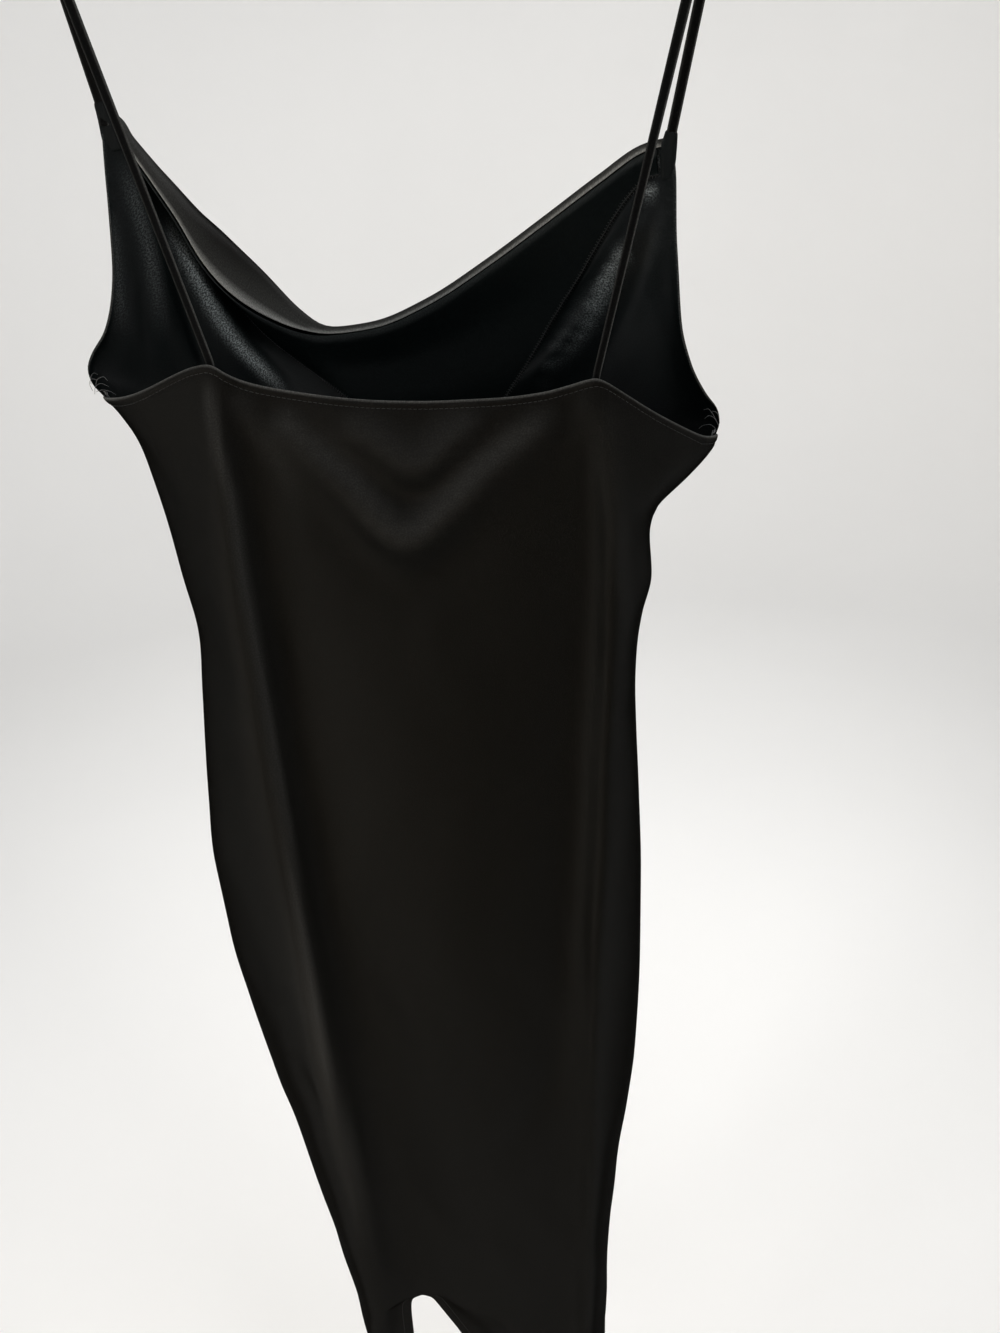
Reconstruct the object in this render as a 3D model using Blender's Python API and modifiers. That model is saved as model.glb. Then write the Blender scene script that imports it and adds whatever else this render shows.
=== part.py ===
"""Slip maxi dress with a cowl neck, hanging by its two straps from a plain hanger.

Metres, Z up. The origin is the inside top of the hanger's hook, where a rail holds it.
The dress's back faces -Y, its cowl front faces +Y, and +X is the right of someone who
looks at the back. The hanger leans, so the right shoulder is the lower one, and the
body of the dress hangs plumb below it.
"""

import math

import bpy
import numpy as np

OBJECT_NAME = "slip_maxi_dress"

# Cloth
WALL = 0.0012  # one layer of the jersey
TURNED_WALL = 0.0023  # the layer and its turned edge
TURN = 0.008  # depth of the turned edge at the back neckline
HEM_TURN = 0.020  # depth of the turned hem
SEAM_PULL = 0.0002  # each side seam edge stops this short of the seam line
HEM_Z = -1.490

# Back vent
VENT_TOP_Z = -1.327
VENT_LEFT_REACH = 5  # columns on each side that give way to the open vent
VENT_RIGHT_REACH = 11

# Straps
STRAP_WIDTH = 0.0072
STRAP_WALL = 0.0024
STRAP_SEWN = 0.012  # length of strap behind the cloth at each end
STRAP_GAP = 0.0004
# Places on the bar where the front and back strands leave it, then the two sewn ends
STRAP_LEFT = (-0.1975, -0.1980, (-0.1958, 0.0455, -0.2510), (-0.1281, -0.0450, -0.4046))
STRAP_RIGHT = (0.2155, 0.2085, (0.1784, 0.0455, -0.2860), (0.1185, -0.0450, -0.4253))

# Hanger
LEAN = math.radians(5.1)
BAR_RADIUS = 0.005
HOOK_WIRE = 0.0019
HOOK_INNER = 0.019
SEAT_Z = -0.1245  # centre of the bar where the straps sit, before it leans

# Lines down the body, as rows of (z, x, y)
LEFT_SEAM = (
    (-0.400, -0.2240, 0.000),
    (-0.425, -0.2200, 0.000),
    (-0.440, -0.2085, -0.001),
    (-0.460, -0.1980, -0.002),
    (-0.485, -0.1925, -0.004),
    (-0.520, -0.1870, -0.006),
    (-0.560, -0.1830, -0.008),
    (-0.600, -0.1790, -0.008),
    (-0.650, -0.1850, -0.006),
    (-0.700, -0.1920, -0.003),
    (-0.750, -0.1985, 0.000),
    (-0.820, -0.2055, 0.004),
    (-0.900, -0.2055, 0.008),
    (-0.970, -0.2000, 0.010),
    (-1.050, -0.1905, 0.012),
    (-1.200, -0.1665, 0.016),
    (-1.350, -0.1475, 0.019),
    (-1.500, -0.1300, 0.020),
)
LEFT_RIDGE = (
    (-0.400, -0.1280, -0.050),
    (-0.457, -0.1330, -0.053),
    (-0.520, -0.1340, -0.052),
    (-0.600, -0.1360, -0.047),
    (-0.730, -0.1350, -0.051),
    (-0.860, -0.1310, -0.056),
    (-1.020, -0.1300, -0.060),
    (-1.100, -0.1285, -0.061),
    (-1.200, -0.1220, -0.062),
    (-1.350, -0.1120, -0.063),
    (-1.500, -0.1030, -0.063),
)
VENT_LINE = (
    (-0.400, -0.1000, -0.047),
    (-0.444, -0.1080, -0.045),
    (-0.540, -0.1120, -0.042),
    (-0.610, -0.1090, -0.037),
    (-0.700, -0.1030, -0.040),
    (-0.816, -0.0980, -0.043),
    (-0.946, -0.0850, -0.045),
    (-1.030, -0.0770, -0.047),
    (-1.190, -0.0670, -0.050),
    (-1.327, -0.0640, -0.052),
    (-1.500, -0.0600, -0.054),
)
BACK_MIDDLE = (
    (-0.400, 0.0000, -0.046),
    (-0.480, 0.0000, -0.047),
    (-0.600, 0.0020, -0.043),
    (-0.750, 0.0030, -0.050),
    (-0.900, 0.0060, -0.056),
    (-1.200, 0.0130, -0.064),
    (-1.500, 0.0150, -0.068),
)
RIGHT_VALLEY = (
    (-0.400, 0.0980, -0.047),
    (-0.480, 0.1060, -0.047),
    (-0.540, 0.1130, -0.045),
    (-0.625, 0.1120, -0.040),
    (-0.700, 0.1070, -0.041),
    (-0.830, 0.1020, -0.046),
    (-0.980, 0.0985, -0.052),
    (-1.105, 0.0945, -0.056),
    (-1.350, 0.0880, -0.062),
    (-1.500, 0.0850, -0.064),
)
RIGHT_RIDGE = (
    (-0.400, 0.1180, -0.050),
    (-0.450, 0.1260, -0.051),
    (-0.518, 0.1310, -0.050),
    (-0.590, 0.1300, -0.045),
    (-0.660, 0.1280, -0.046),
    (-0.785, 0.1235, -0.052),
    (-0.870, 0.1180, -0.056),
    (-1.147, 0.1110, -0.062),
    (-1.350, 0.1065, -0.065),
    (-1.500, 0.1040, -0.066),
)
RIGHT_SEAM = (
    (-0.440, 0.2135, 0.000),
    (-0.468, 0.2115, 0.000),
    (-0.482, 0.2085, -0.001),
    (-0.496, 0.1975, -0.003),
    (-0.510, 0.1825, -0.004),
    (-0.524, 0.1665, -0.006),
    (-0.542, 0.1615, -0.007),
    (-0.575, 0.1635, -0.008),
    (-0.605, 0.1565, -0.008),
    (-0.630, 0.1530, -0.007),
    (-0.660, 0.1520, -0.006),
    (-0.700, 0.1535, -0.004),
    (-0.760, 0.1570, 0.000),
    (-0.850, 0.1610, 0.004),
    (-0.950, 0.1620, 0.008),
    (-1.050, 0.1595, 0.011),
    (-1.130, 0.1525, 0.013),
    (-1.200, 0.1430, 0.015),
    (-1.260, 0.1385, 0.017),
    (-1.350, 0.1330, 0.019),
    (-1.500, 0.1290, 0.020),
)
FRONT_RIGHT_SIDE = (
    (-0.400, 0.1700, 0.046),
    (-0.480, 0.1580, 0.043),
    (-0.540, 0.1330, 0.034),
    (-0.610, 0.1210, 0.026),
    (-0.700, 0.1210, 0.034),
    (-0.800, 0.1240, 0.052),
    (-0.900, 0.1270, 0.062),
    (-1.050, 0.1260, 0.070),
    (-1.200, 0.1180, 0.076),
    (-1.350, 0.1110, 0.081),
    (-1.500, 0.1070, 0.083),
)
FRONT_RIGHT = (
    (-0.400, 0.0950, 0.070),
    (-0.480, 0.0880, 0.067),
    (-0.540, 0.0750, 0.050),
    (-0.610, 0.0680, 0.036),
    (-0.700, 0.0680, 0.046),
    (-0.800, 0.0700, 0.072),
    (-0.900, 0.0720, 0.086),
    (-1.050, 0.0720, 0.094),
    (-1.200, 0.0680, 0.100),
    (-1.350, 0.0640, 0.105),
    (-1.500, 0.0620, 0.107),
)
FRONT_MIDDLE = (
    (-0.400, -0.0050, 0.078),
    (-0.480, -0.0050, 0.074),
    (-0.540, -0.0060, 0.056),
    (-0.610, -0.0080, 0.038),
    (-0.700, -0.0100, 0.044),
    (-0.800, -0.0120, 0.070),
    (-0.900, -0.0120, 0.084),
    (-1.050, -0.0100, 0.090),
    (-1.200, -0.0080, 0.096),
    (-1.350, -0.0060, 0.102),
    (-1.500, -0.0040, 0.105),
)
FRONT_LEFT = (
    (-0.400, -0.1100, 0.074),
    (-0.480, -0.1000, 0.068),
    (-0.540, -0.0900, 0.051),
    (-0.610, -0.0850, 0.037),
    (-0.700, -0.0880, 0.048),
    (-0.800, -0.0940, 0.075),
    (-0.900, -0.0950, 0.088),
    (-1.050, -0.0890, 0.097),
    (-1.200, -0.0800, 0.103),
    (-1.350, -0.0720, 0.107),
    (-1.500, -0.0650, 0.109),
)
FRONT_LEFT_SIDE = (
    (-0.400, -0.1780, 0.048),
    (-0.480, -0.1600, 0.043),
    (-0.540, -0.1480, 0.033),
    (-0.610, -0.1400, 0.026),
    (-0.700, -0.1450, 0.034),
    (-0.800, -0.1530, 0.052),
    (-0.900, -0.1540, 0.063),
    (-1.050, -0.1440, 0.071),
    (-1.200, -0.1300, 0.077),
    (-1.350, -0.1190, 0.082),
    (-1.500, -0.1080, 0.084),
)

# The lines in order round the body, seen from above, and where the columns of points
# lie between each line and the next
ROUND = (
    LEFT_SEAM,
    LEFT_RIDGE,
    VENT_LINE,
    BACK_MIDDLE,
    RIGHT_VALLEY,
    RIGHT_RIDGE,
    RIGHT_SEAM,
    FRONT_RIGHT_SIDE,
    FRONT_RIGHT,
    FRONT_MIDDLE,
    FRONT_LEFT,
    FRONT_LEFT_SIDE,
)
FROM_SEAM = (0.0, 0.05, 0.20, 0.42, 0.66, 0.84)
TO_SEAM = (0.0, 0.16, 0.34, 0.58, 0.80, 0.95)
TO_POINT = (0.0, 0.16, 0.32, 0.45, 0.57, 0.68, 0.78, 0.87, 0.95)
THIRDS = (0.0, 1 / 3, 2 / 3)
QUARTERS = (0.0, 0.25, 0.50, 0.75)
FIFTHS = (0.0, 0.2, 0.4, 0.6, 0.8)
SEVENTHS = tuple(k / 7 for k in range(7))
BACK_COLUMNS = (FROM_SEAM, THIRDS, SEVENTHS, SEVENTHS, THIRDS, TO_SEAM)
FRONT_COLUMNS = (FROM_SEAM, QUARTERS, FIFTHS, FIFTHS, QUARTERS, TO_POINT)
VENT_COLUMN = len(FROM_SEAM) + len(THIRDS)

# Top edge of the back, as rows of (x, z)
BACK_EDGE = (
    (-0.2200, -0.4300),
    (-0.1976, -0.4271),
    (-0.1747, -0.4203),
    (-0.1563, -0.4122),
    (-0.1374, -0.4057),
    (-0.1281, -0.4046),
    (-0.1183, -0.4108),
    (-0.1074, -0.4171),
    (-0.0922, -0.4218),
    (-0.0541, -0.4290),
    (-0.0183, -0.4335),
    (0.0180, -0.4353),
    (0.0545, -0.4350),
    (0.0817, -0.4335),
    (0.0999, -0.4298),
    (0.1185, -0.4253),
    (0.1276, -0.4299),
    (0.1425, -0.4402),
    (0.1626, -0.4538),
    (0.1806, -0.4644),
    (0.1968, -0.4736),
    (0.2115, -0.4763),
)

# Front neckline from the left shoulder point, as rows of (x, y, z, rise, out).
# The cloth stands above the folded edge by rise and in front of it by out.
NECKLINE = (
    (-0.1994, 0.0490, -0.2550, 0.0040, 0.0050),
    (-0.1890, 0.0515, -0.2610, 0.0040, 0.0065),
    (-0.1842, 0.0532, -0.2781, 0.0040, 0.0095),
    (-0.1740, 0.0580, -0.2988, 0.0080, 0.0140),
    (-0.1631, 0.0650, -0.3228, 0.0197, 0.0170),
    (-0.1526, 0.0690, -0.3490, 0.0324, 0.0230),
    (-0.1394, 0.072, -0.3687, 0.0376, 0.0260),
    (-0.1254, 0.073, -0.3811, 0.0347, 0.0250),
    (-0.1107, 0.074, -0.3903, 0.0279, 0.0230),
    (-0.0911, 0.075, -0.3990, 0.0144, 0.0160),
    (-0.0671, 0.076, -0.4040, 0.0045, 0.0050),
    (-0.0355, 0.077, -0.4016, 0.0040, 0.0040),
    (0.0074, 0.077, -0.3870, 0.0040, 0.0040),
    (0.0524, 0.075, -0.3625, 0.0040, 0.0040),
    (0.0980, 0.071, -0.3340, 0.0040, 0.0040),
    (0.1370, 0.0620, -0.3080, 0.0040, 0.0045),
    (0.1676, 0.0535, -0.2885, 0.0040, 0.0045),
    (0.1820, 0.0485, -0.2900, 0.0040, 0.0045),
)

# Armhole edges of the front, from the underarm up, as rows of (x, y, z)
LEFT_ARMHOLE = (
    (-0.2200, 0.000, -0.4270),
    (-0.2250, 0.004, -0.4175),
    (-0.2267, 0.008, -0.4109),
    (-0.2235, 0.012, -0.4023),
    (-0.2139, 0.019, -0.3884),
    (-0.2070, 0.026, -0.3672),
    (-0.2044, 0.032, -0.3485),
    (-0.2027, 0.040, -0.3150),
    (-0.2016, 0.046, -0.2876),
    (-0.1994, 0.053, -0.2532),
)
RIGHT_ARMHOLE = (
    (0.2115, 0.000, -0.4740),
    (0.2107, 0.005, -0.4619),
    (0.2021, 0.010, -0.4492),
    (0.1929, 0.017, -0.4306),
    (0.1866, 0.026, -0.4030),
    (0.1849, 0.034, -0.3681),
    (0.1838, 0.040, -0.3402),
    (0.1839, 0.046, -0.3122),
    (0.1820, 0.053, -0.2882),
)
YOKE_DIP = 0.060  # the row that the cowl starts from sags this much at the middle
ROLL_WALL = 0.9  # the rolled edge is drawn thinner by this share
LEAST_LIFT = 0.0048  # square to the folded edge, the cloth's top is at least this far off

# V folds under the back neckline, as rows of (x, z, left slope, right slope, height, width)
SWAGS = (
    (-0.0100, -0.5250, 1.15, 0.78, 0.0055, 0.0160),
    (0.0020, -0.4760, 0.80, 0.65, 0.0040, 0.0140),
)
SWAG_HOLLOW = 0.0025

# Swags of the cowl between the underarm row and the neckline, as rows of (share, height, width)
COWL_SWAGS = (
    (0.76, 0.0060, 0.15),
    (0.50, -0.0025, 0.13),
    (0.24, 0.0050, 0.15),
)

# Facing
FACING_WALL = 0.0010
FACING_INSET = 0.0046
FACING_ROWS = 10

# Lower edge of the facing, as rows of (x, z)
FACING_EDGE = (
    (-0.1880, -0.2780),
    (-0.1520, -0.3600),
    (-0.1200, -0.4060),
    (-0.0650, -0.4480),
    (-0.0100, -0.4860),
    (0.0300, -0.4900),
    (0.0680, -0.4480),
    (0.1150, -0.3800),
    (0.1590, -0.3160),
    (0.1790, -0.3030),
)

# Open edges of the vent below its top, as rows of (z, left x, right x)
VENT = (
    (-1.3270, -0.0640, -0.0640),
    (-1.3300, -0.0715, -0.0565),
    (-1.3380, -0.0760, -0.0510),
    (-1.3560, -0.0770, -0.0430),
    (-1.3900, -0.0772, -0.0280),
    (-1.4250, -0.0768, -0.0160),
    (-1.4600, -0.0755, -0.0070),
    (-1.4900, -0.0745, -0.0010),
)


def slopes(t, values):
    """Slopes at the rows of a smooth line that never swings past its rows."""
    steps = np.diff(values) / np.diff(t)
    out = np.zeros(len(values))
    out[0] = steps[0]
    out[-1] = steps[-1]
    for i in range(1, len(values) - 1):
        before = steps[i - 1]
        after = steps[i]
        if before * after > 0:
            out[i] = 2 * before * after / (before + after)
    return out


def line(t, values):
    """A smooth function through values placed at t, with t rising."""
    t = np.asarray(t, float)
    values = np.asarray(values, float)
    lean = slopes(t, values)

    def at(where):
        where = min(max(where, t[0]), t[-1])
        i = int(min(max(np.searchsorted(t, where) - 1, 0), len(t) - 2))
        span = t[i + 1] - t[i]
        s = (where - t[i]) / span
        low = (1 + 2 * s) * (1 - s) ** 2 * values[i]
        low += s * (1 - s) ** 2 * span * lean[i]
        high = s * s * (3 - 2 * s) * values[i + 1]
        high += s * s * (s - 1) * span * lean[i + 1]
        return float(low + high)

    return at


def guide(table):
    """The (x, y) of one line down the body as a function of z."""
    rows = sorted(table)
    z = [row[0] for row in rows]
    x = line(z, [row[1] for row in rows])
    y = line(z, [row[2] for row in rows])
    return lambda where: np.array([x(where), y(where)])


def path(rows):
    """A function of 0 to 1 along a row list, by distance, that gives every column."""
    rows = np.asarray(rows, float)
    dims = min(3, rows.shape[1])
    gaps = np.linalg.norm(np.diff(rows[:, :dims], axis=0), axis=1)
    t = np.concatenate([[0.0], np.cumsum(gaps)]) / gaps.sum()
    parts = [line(t, rows[:, i]) for i in range(rows.shape[1])]
    return lambda where: np.array([part(where) for part in parts])


GUIDES = [guide(table) for table in ROUND]


def round_point(place, z):
    """The (x, y) at a place round the body: 2.5 is half way between lines 2 and 3."""
    i = int(math.floor(place))
    f = place - i
    count = len(GUIDES)
    a, b, c, d = (GUIDES[(i + k) % count](z) for k in (-1, 0, 1, 2))
    knots = [0.0]
    for p, q in ((a, b), (b, c), (c, d)):
        knots.append(knots[-1] + math.sqrt(max(np.linalg.norm(q - p), 1e-6)))
    t = knots[1] + f * (knots[2] - knots[1])

    def between(p, q, low, high):
        return (p * (high - t) + q * (t - low)) / (high - low)

    ab = between(a, b, knots[0], knots[1])
    bc = between(b, c, knots[1], knots[2])
    cd = between(c, d, knots[2], knots[3])
    abc = between(ab, bc, knots[0], knots[2])
    bcd = between(bc, cd, knots[1], knots[3])
    return between(abc, bcd, knots[1], knots[2])


def places(first, columns):
    """Places of the columns of a panel that starts at line number first."""
    found = []
    for span, steps in enumerate(columns):
        found += [first + span + step for step in steps]
    return found + [first + len(columns)]


def shares(levels):
    """Joins (from, to, rows) spans into one rising list."""
    found = []
    for low, high, rows in levels:
        found += [low + (high - low) * k / rows for k in range(rows)]
    return found + [levels[-1][1]]


def swag_height(x, z):
    """How far the back stands out at the V folds under its neckline."""
    height = 0.0
    for tip_x, tip_z, left, right, tall, wide in SWAGS:
        slope = left if x < tip_x else right
        crest = tip_z + slope * (math.hypot(x - tip_x, 0.008) - 0.008)
        off = (z - crest) / math.hypot(1.0, slope)
        fade = max(0.0, 1 - (abs(x - tip_x) / 0.085) ** 2)
        height += tall * fade * math.exp(-((off / wide) ** 2))
        height -= SWAG_HOLLOW * fade * math.exp(-(((off + 2 * wide) / wide) ** 2))
    return height


def back_rows():
    """Heights of the rows of the back, as functions of the height of its top edge."""
    vent = [row[0] for row in reversed(VENT)]
    low = [lambda top, z=z: z for z in vent]
    body = shares(((VENT_TOP_Z, -0.620, 17),))[1:]
    low += [lambda top, z=z: z for z in body]
    upper = shares(((0.0, 1.0, 12),))[1:]

    def blend(share):
        return lambda top: -0.620 + (top - TURN - 0.0015 + 0.620) * share

    low += [blend(share) for share in upper]
    low += [lambda top: top - TURN, lambda top: top - 0.5 * TURN, lambda top: top]
    return low


def pull_ends(grid):
    """Stops each side edge of a grid just short of the seam line."""
    for row in grid:
        for end, inner in ((0, 1), (-1, -2)):
            step = row[inner] - row[end]
            row[end] = row[end] + step / np.linalg.norm(step) * SEAM_PULL


def back_grid():
    """Rows of points of the back from hem to neckline, and each row's wall share."""
    tops = []
    columns = places(0, BACK_COLUMNS)
    left = BACK_EDGE[0][0]
    right = BACK_EDGE[-1][0]
    edge_z = line([row[0] for row in BACK_EDGE], [row[1] for row in BACK_EDGE])
    for place in columns:
        z = edge_z(0.0)
        for _ in range(4):
            x = min(max(round_point(place, z)[0], left), right)
            z = edge_z(x)
        tops.append(z)
    grid = []
    for height in back_rows():
        row = []
        for place, top in zip(columns, tops):
            z = height(top)
            x, y = round_point(place, z)
            row.append(np.array([x, y - swag_height(x, z), z]))
        grid.append(row)
    pull_ends(grid)
    single = WALL / TURNED_WALL
    walls = [[single] * len(columns) for _ in grid]
    for i in range(len(grid)):
        if i >= len(grid) - 3 or grid[i][0][2] <= HEM_Z + HEM_TURN:
            walls[i] = [single, single] + [1.0] * (len(columns) - 4) + [single, single]
    return grid, walls


def open_vent(grid):
    """Splits the back below the vent's top. Returns the points of the right edge."""
    right_edge = []
    low = len(VENT) - 1
    for i in range(low):
        z, left_x, right_x = VENT[low - i]
        row = grid[i]
        middle = row[VENT_COLUMN][0]
        for k in range(1, VENT_LEFT_REACH):
            give = (left_x - middle) * (1 - k / VENT_LEFT_REACH)
            row[VENT_COLUMN - k] = row[VENT_COLUMN - k] + np.array([give, 0, 0])
        for k in range(1, VENT_RIGHT_REACH):
            give = (right_x - middle) * (1 - k / VENT_RIGHT_REACH)
            row[VENT_COLUMN + k] = row[VENT_COLUMN + k] + np.array([give, 0, 0])
        centre = row[VENT_COLUMN]
        right_edge.append(np.array([right_x, centre[1] - 0.001, z]))
        row[VENT_COLUMN] = np.array([left_x, centre[1] - 0.001, z])
    return right_edge


def column_shares(columns):
    """Each column's share of the way round the front, by distance, from the right."""
    spots = []
    for place in columns:
        right = (columns[-1] - place) / (columns[-1] - columns[0])
        z = LEFT_ARMHOLE[0][2] + (RIGHT_ARMHOLE[0][2] - LEFT_ARMHOLE[0][2]) * right
        z -= YOKE_DIP * math.sin(math.pi * right)
        spots.append(np.array([*round_point(place, z), z]))
    gaps = np.linalg.norm(np.diff(spots, axis=0), axis=1)
    return [0.0, *np.cumsum(gaps) / gaps.sum()]


def yoke_z(share):
    """Height of the row that the cowl starts from, with share 0 at the right underarm."""
    right = RIGHT_ARMHOLE[0][2]
    left = LEFT_ARMHOLE[0][2]
    return right + (left - right) * share - YOKE_DIP * math.sin(math.pi * share)


facing_edge_z = line([row[0] for row in FACING_EDGE], [row[1] for row in FACING_EDGE])
NECK = path(NECKLINE)
LEFT_EDGE = path(LEFT_ARMHOLE)
RIGHT_EDGE = path(RIGHT_ARMHOLE)


def crest(share):
    """The folded edge, the step from it up to the cloth's top, the roll's radius, and how
    far the front and the back of the roll stand out from the edge."""
    x, y, z, rise, out = NECK(1 - share)
    along = NECK(min(1.01 - share, 1.0)) - NECK(max(0.99 - share, 0.0))
    square = np.array([-along[2], 0.0, along[0]]) / math.hypot(along[0], along[2])
    lift = np.array([0, 0, rise]) + square * max(LEAST_LIFT - rise * square[2], 0.0)
    roll = min(0.0022 + 0.09 * max(out - 0.004, 0), 0.0045)
    near = 0.25 * out
    back = near + max(out - 2.6 * roll - near, 0.0) * min(square[2] / 0.85, 1.0) ** 2
    return np.array([x, y, z]), lift, roll, out, back


def swag_of_cowl(share, s):
    """How far the cowl stands out at one height."""
    height = 0.0
    for middle, tall, wide in COWL_SWAGS:
        height += tall * math.exp(-(((s - middle) / wide) ** 2))
    return height * max(math.sin(math.pi * share), 0.0) ** 1.3


def yoke_point(place, share, s):
    """A point of the front between the underarm row (s 0) and the neckline (s 1)."""
    z = yoke_z(share)
    below = np.array([*round_point(place, z - 0.004), z - 0.004])
    start = np.array([*round_point(place, z), z])
    edge, lift, roll, out, back = crest(share)
    end = edge + lift * max(1 - roll / np.linalg.norm(lift), 0.3) + np.array([0, out, 0])
    length = np.linalg.norm(end - start)
    rise = (start - below) / np.linalg.norm(start - below) * length
    arrive = np.array([0.0, -0.10, 1.0]) * length
    h = ((1 + 2 * s) * (1 - s) ** 2, s * (1 - s) ** 2, s * s * (3 - 2 * s), s * s * (s - 1))
    point = start * h[0] + rise * h[1] + end * h[2] + arrive * h[3]
    return point + np.array([0, swag_of_cowl(share, s), 0])


FRONT_PLACES = places(6, FRONT_COLUMNS)
FRONT_SHARES = column_shares(FRONT_PLACES)


def front_point(column, s):
    """The same point, drawn to the armhole edges at the two sides."""
    share = FRONT_SHARES[column]
    point = yoke_point(FRONT_PLACES[column], share, s)
    right = RIGHT_EDGE(s) - yoke_point(FRONT_PLACES[0], 0.0, s)
    left = LEFT_EDGE(s) - yoke_point(FRONT_PLACES[-1], 1.0, s)
    near_right = max(0.0, 1 - share / 0.45) ** 2
    near_left = max(0.0, 1 - (1 - share) / 0.45) ** 2
    return point + right * near_right + left * near_left


def front_grid():
    """Rows of points of the front from the hem to the folded neckline edge."""
    last = len(FRONT_PLACES) - 1
    grid = []
    hem = shares(((HEM_Z, HEM_Z + HEM_TURN, 1), (HEM_Z + HEM_TURN, 0.0, 1)))[:2]
    body = [(0.0, z) for z in hem]
    body += [(share, HEM_Z + HEM_TURN) for share in shares(((0.0, 1.0, 24),))[1:]]
    for share, start in body:
        row = []
        for side, place in zip(FRONT_SHARES, FRONT_PLACES):
            z = start + (yoke_z(side) - start) * share
            row.append(np.array([*round_point(place, z), z]))
        grid.append(row)
    for s in shares(((0.0, 1.0, 13),))[1:]:
        grid.append([front_point(i, s) for i in range(last + 1)])
    crown = []
    inner = []
    low = []
    for side in FRONT_SHARES:
        edge, lift, roll, out, back = crest(side)
        crown.append(edge + lift + np.array([0, out - 0.8 * roll, 0]))
        lower = 1 - 0.6 * roll / np.linalg.norm(lift)
        inner.append(edge + lift * lower + np.array([0, back, 0]))
        low.append(edge)
    grid += [crown, inner, low]
    pull_ends(grid)
    single = WALL / TURNED_WALL
    walls = [[single] * (last + 1) for _ in grid]
    for i in range(2):
        walls[i] = [single, single] + [1.0] * (last - 3) + [single, single]
    for i in range(len(grid) - 4, len(grid)):
        walls[i] = [single * ROLL_WALL] * (last + 1)
    return grid, walls


def front_column(column, r):
    """A point of one front column: r below 1 is under the underarm row, above 1 over it."""
    if r >= 1:
        return front_point(column, min(r - 1, 1.0))
    z = yoke_z(FRONT_SHARES[column]) - 0.10 * (1 - r)
    return np.array([*round_point(FRONT_PLACES[column], z), z])


def inward_of(column, r):
    """The direction into the dress at a point of the front."""
    step = 0.02
    up = front_column(column, min(r + step, 2.0))
    down = front_column(column, max(r - step, 0.0))
    here = front_column(max(column - 1, 0), r)
    there = front_column(min(column + 1, len(FRONT_PLACES) - 1), r)
    outward = np.cross(there - here, up - down)
    return -outward / np.linalg.norm(outward)


def facing_start(column):
    """Where one front column crosses the facing's lower edge."""
    low = 0.0
    high = 2.0
    for _ in range(24):
        middle = 0.5 * (low + high)
        point = front_column(column, middle)
        if point[2] < facing_edge_z(point[0]):
            low = middle
        else:
            high = middle
    return min(0.5 * (low + high), 1.90)


def facing_grid():
    """Rows of points of the facing, from its pointed lower edge to the folded edge."""
    strips = []
    for column in range(2, len(FRONT_PLACES) - 7):
        start = facing_start(column)
        share = FRONT_SHARES[column]
        edge, lift, roll, out, back = crest(share)
        loose = min(max((out - 0.004) / 0.005, 0.0), 1.0)
        ahead = crest(min(share + 0.01, 1.0))[0] - crest(max(share - 0.01, 0.0))[0]
        below = np.array([-ahead[2], 0.0, ahead[0]]) / math.hypot(ahead[0], ahead[2])
        strip = []
        for k in range(FACING_ROWS + 1):
            r = start + (2.0 - start) * k / FACING_ROWS
            strip.append(front_column(column, r) + inward_of(column, r) * FACING_INSET)
        target = edge + below * (0.0008 + 0.0018 * loose) + np.array([0, 0.0004, 0])
        hung = []
        for k, point in enumerate(strip):
            t = k / FACING_ROWS
            close = point + (target - strip[-1]) * t * t
            straight = strip[0] + (target - strip[0]) * t
            hung.append(close * (1 - loose) + straight * loose)
        strips.append(hung)
    return [[strip[k] for strip in strips] for k in range(FACING_ROWS + 1)]


def turned(point):
    """A point of the upright hanger where it is once the hanger leans."""
    x, y, z = point
    return np.array(
        [
            x * math.cos(LEAN) + z * math.sin(LEAN),
            y,
            -x * math.sin(LEAN) + z * math.cos(LEAN),
        ]
    )


def strap_route(front_x, back_x, front, back):
    """Centre line of one strap, from behind the front point over the bar to the back."""
    seat = turned((front_x, 0.0, SEAT_Z))
    leave = turned((back_x, 0.0, SEAT_Z))
    radius = BAR_RADIUS + STRAP_GAP + 0.5 * STRAP_WALL
    front = np.array(front)
    back = np.array(back)
    near = math.atan2(front[1] - radius, seat[2] - front[2])
    far = math.atan2(-back[1] - radius, leave[2] - back[2])
    route = [front - np.array([0, 0, STRAP_SEWN]), front - np.array([0, 0, 0.004])]
    start = seat + np.array([0, radius * math.cos(near), radius * math.sin(near)])
    end = leave + np.array([0, -radius * math.cos(far), radius * math.sin(far)])
    route += [front + (start - front) * k / 5 for k in range(5)]
    turns = 9
    for k in range(turns + 1):
        angle = near + (math.pi - far - near) * k / turns
        step = np.array([0, radius * math.cos(angle), radius * math.sin(angle)])
        route.append(seat + (leave - seat) * k / turns + step)
    route += [end + (back - end) * k / 8 for k in range(1, 9)]
    route += [back - np.array([0, 0, 0.004]), back - np.array([0, 0, STRAP_SEWN])]
    return route


def ribbon(route):
    """Rows of three points across a strap, each square to its route."""
    along_bar = turned((1.0, 0.0, 0.0))
    rows = []
    for i, point in enumerate(route):
        ahead = route[min(i + 1, len(route) - 1)]
        behind = route[max(i - 1, 0)]
        way = (ahead - behind) / np.linalg.norm(ahead - behind)
        across = along_bar - way * float(along_bar @ way)
        across = across / np.linalg.norm(across) * 0.5 * STRAP_WIDTH
        rows.append([point - across, point, point + across])
    return rows


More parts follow.
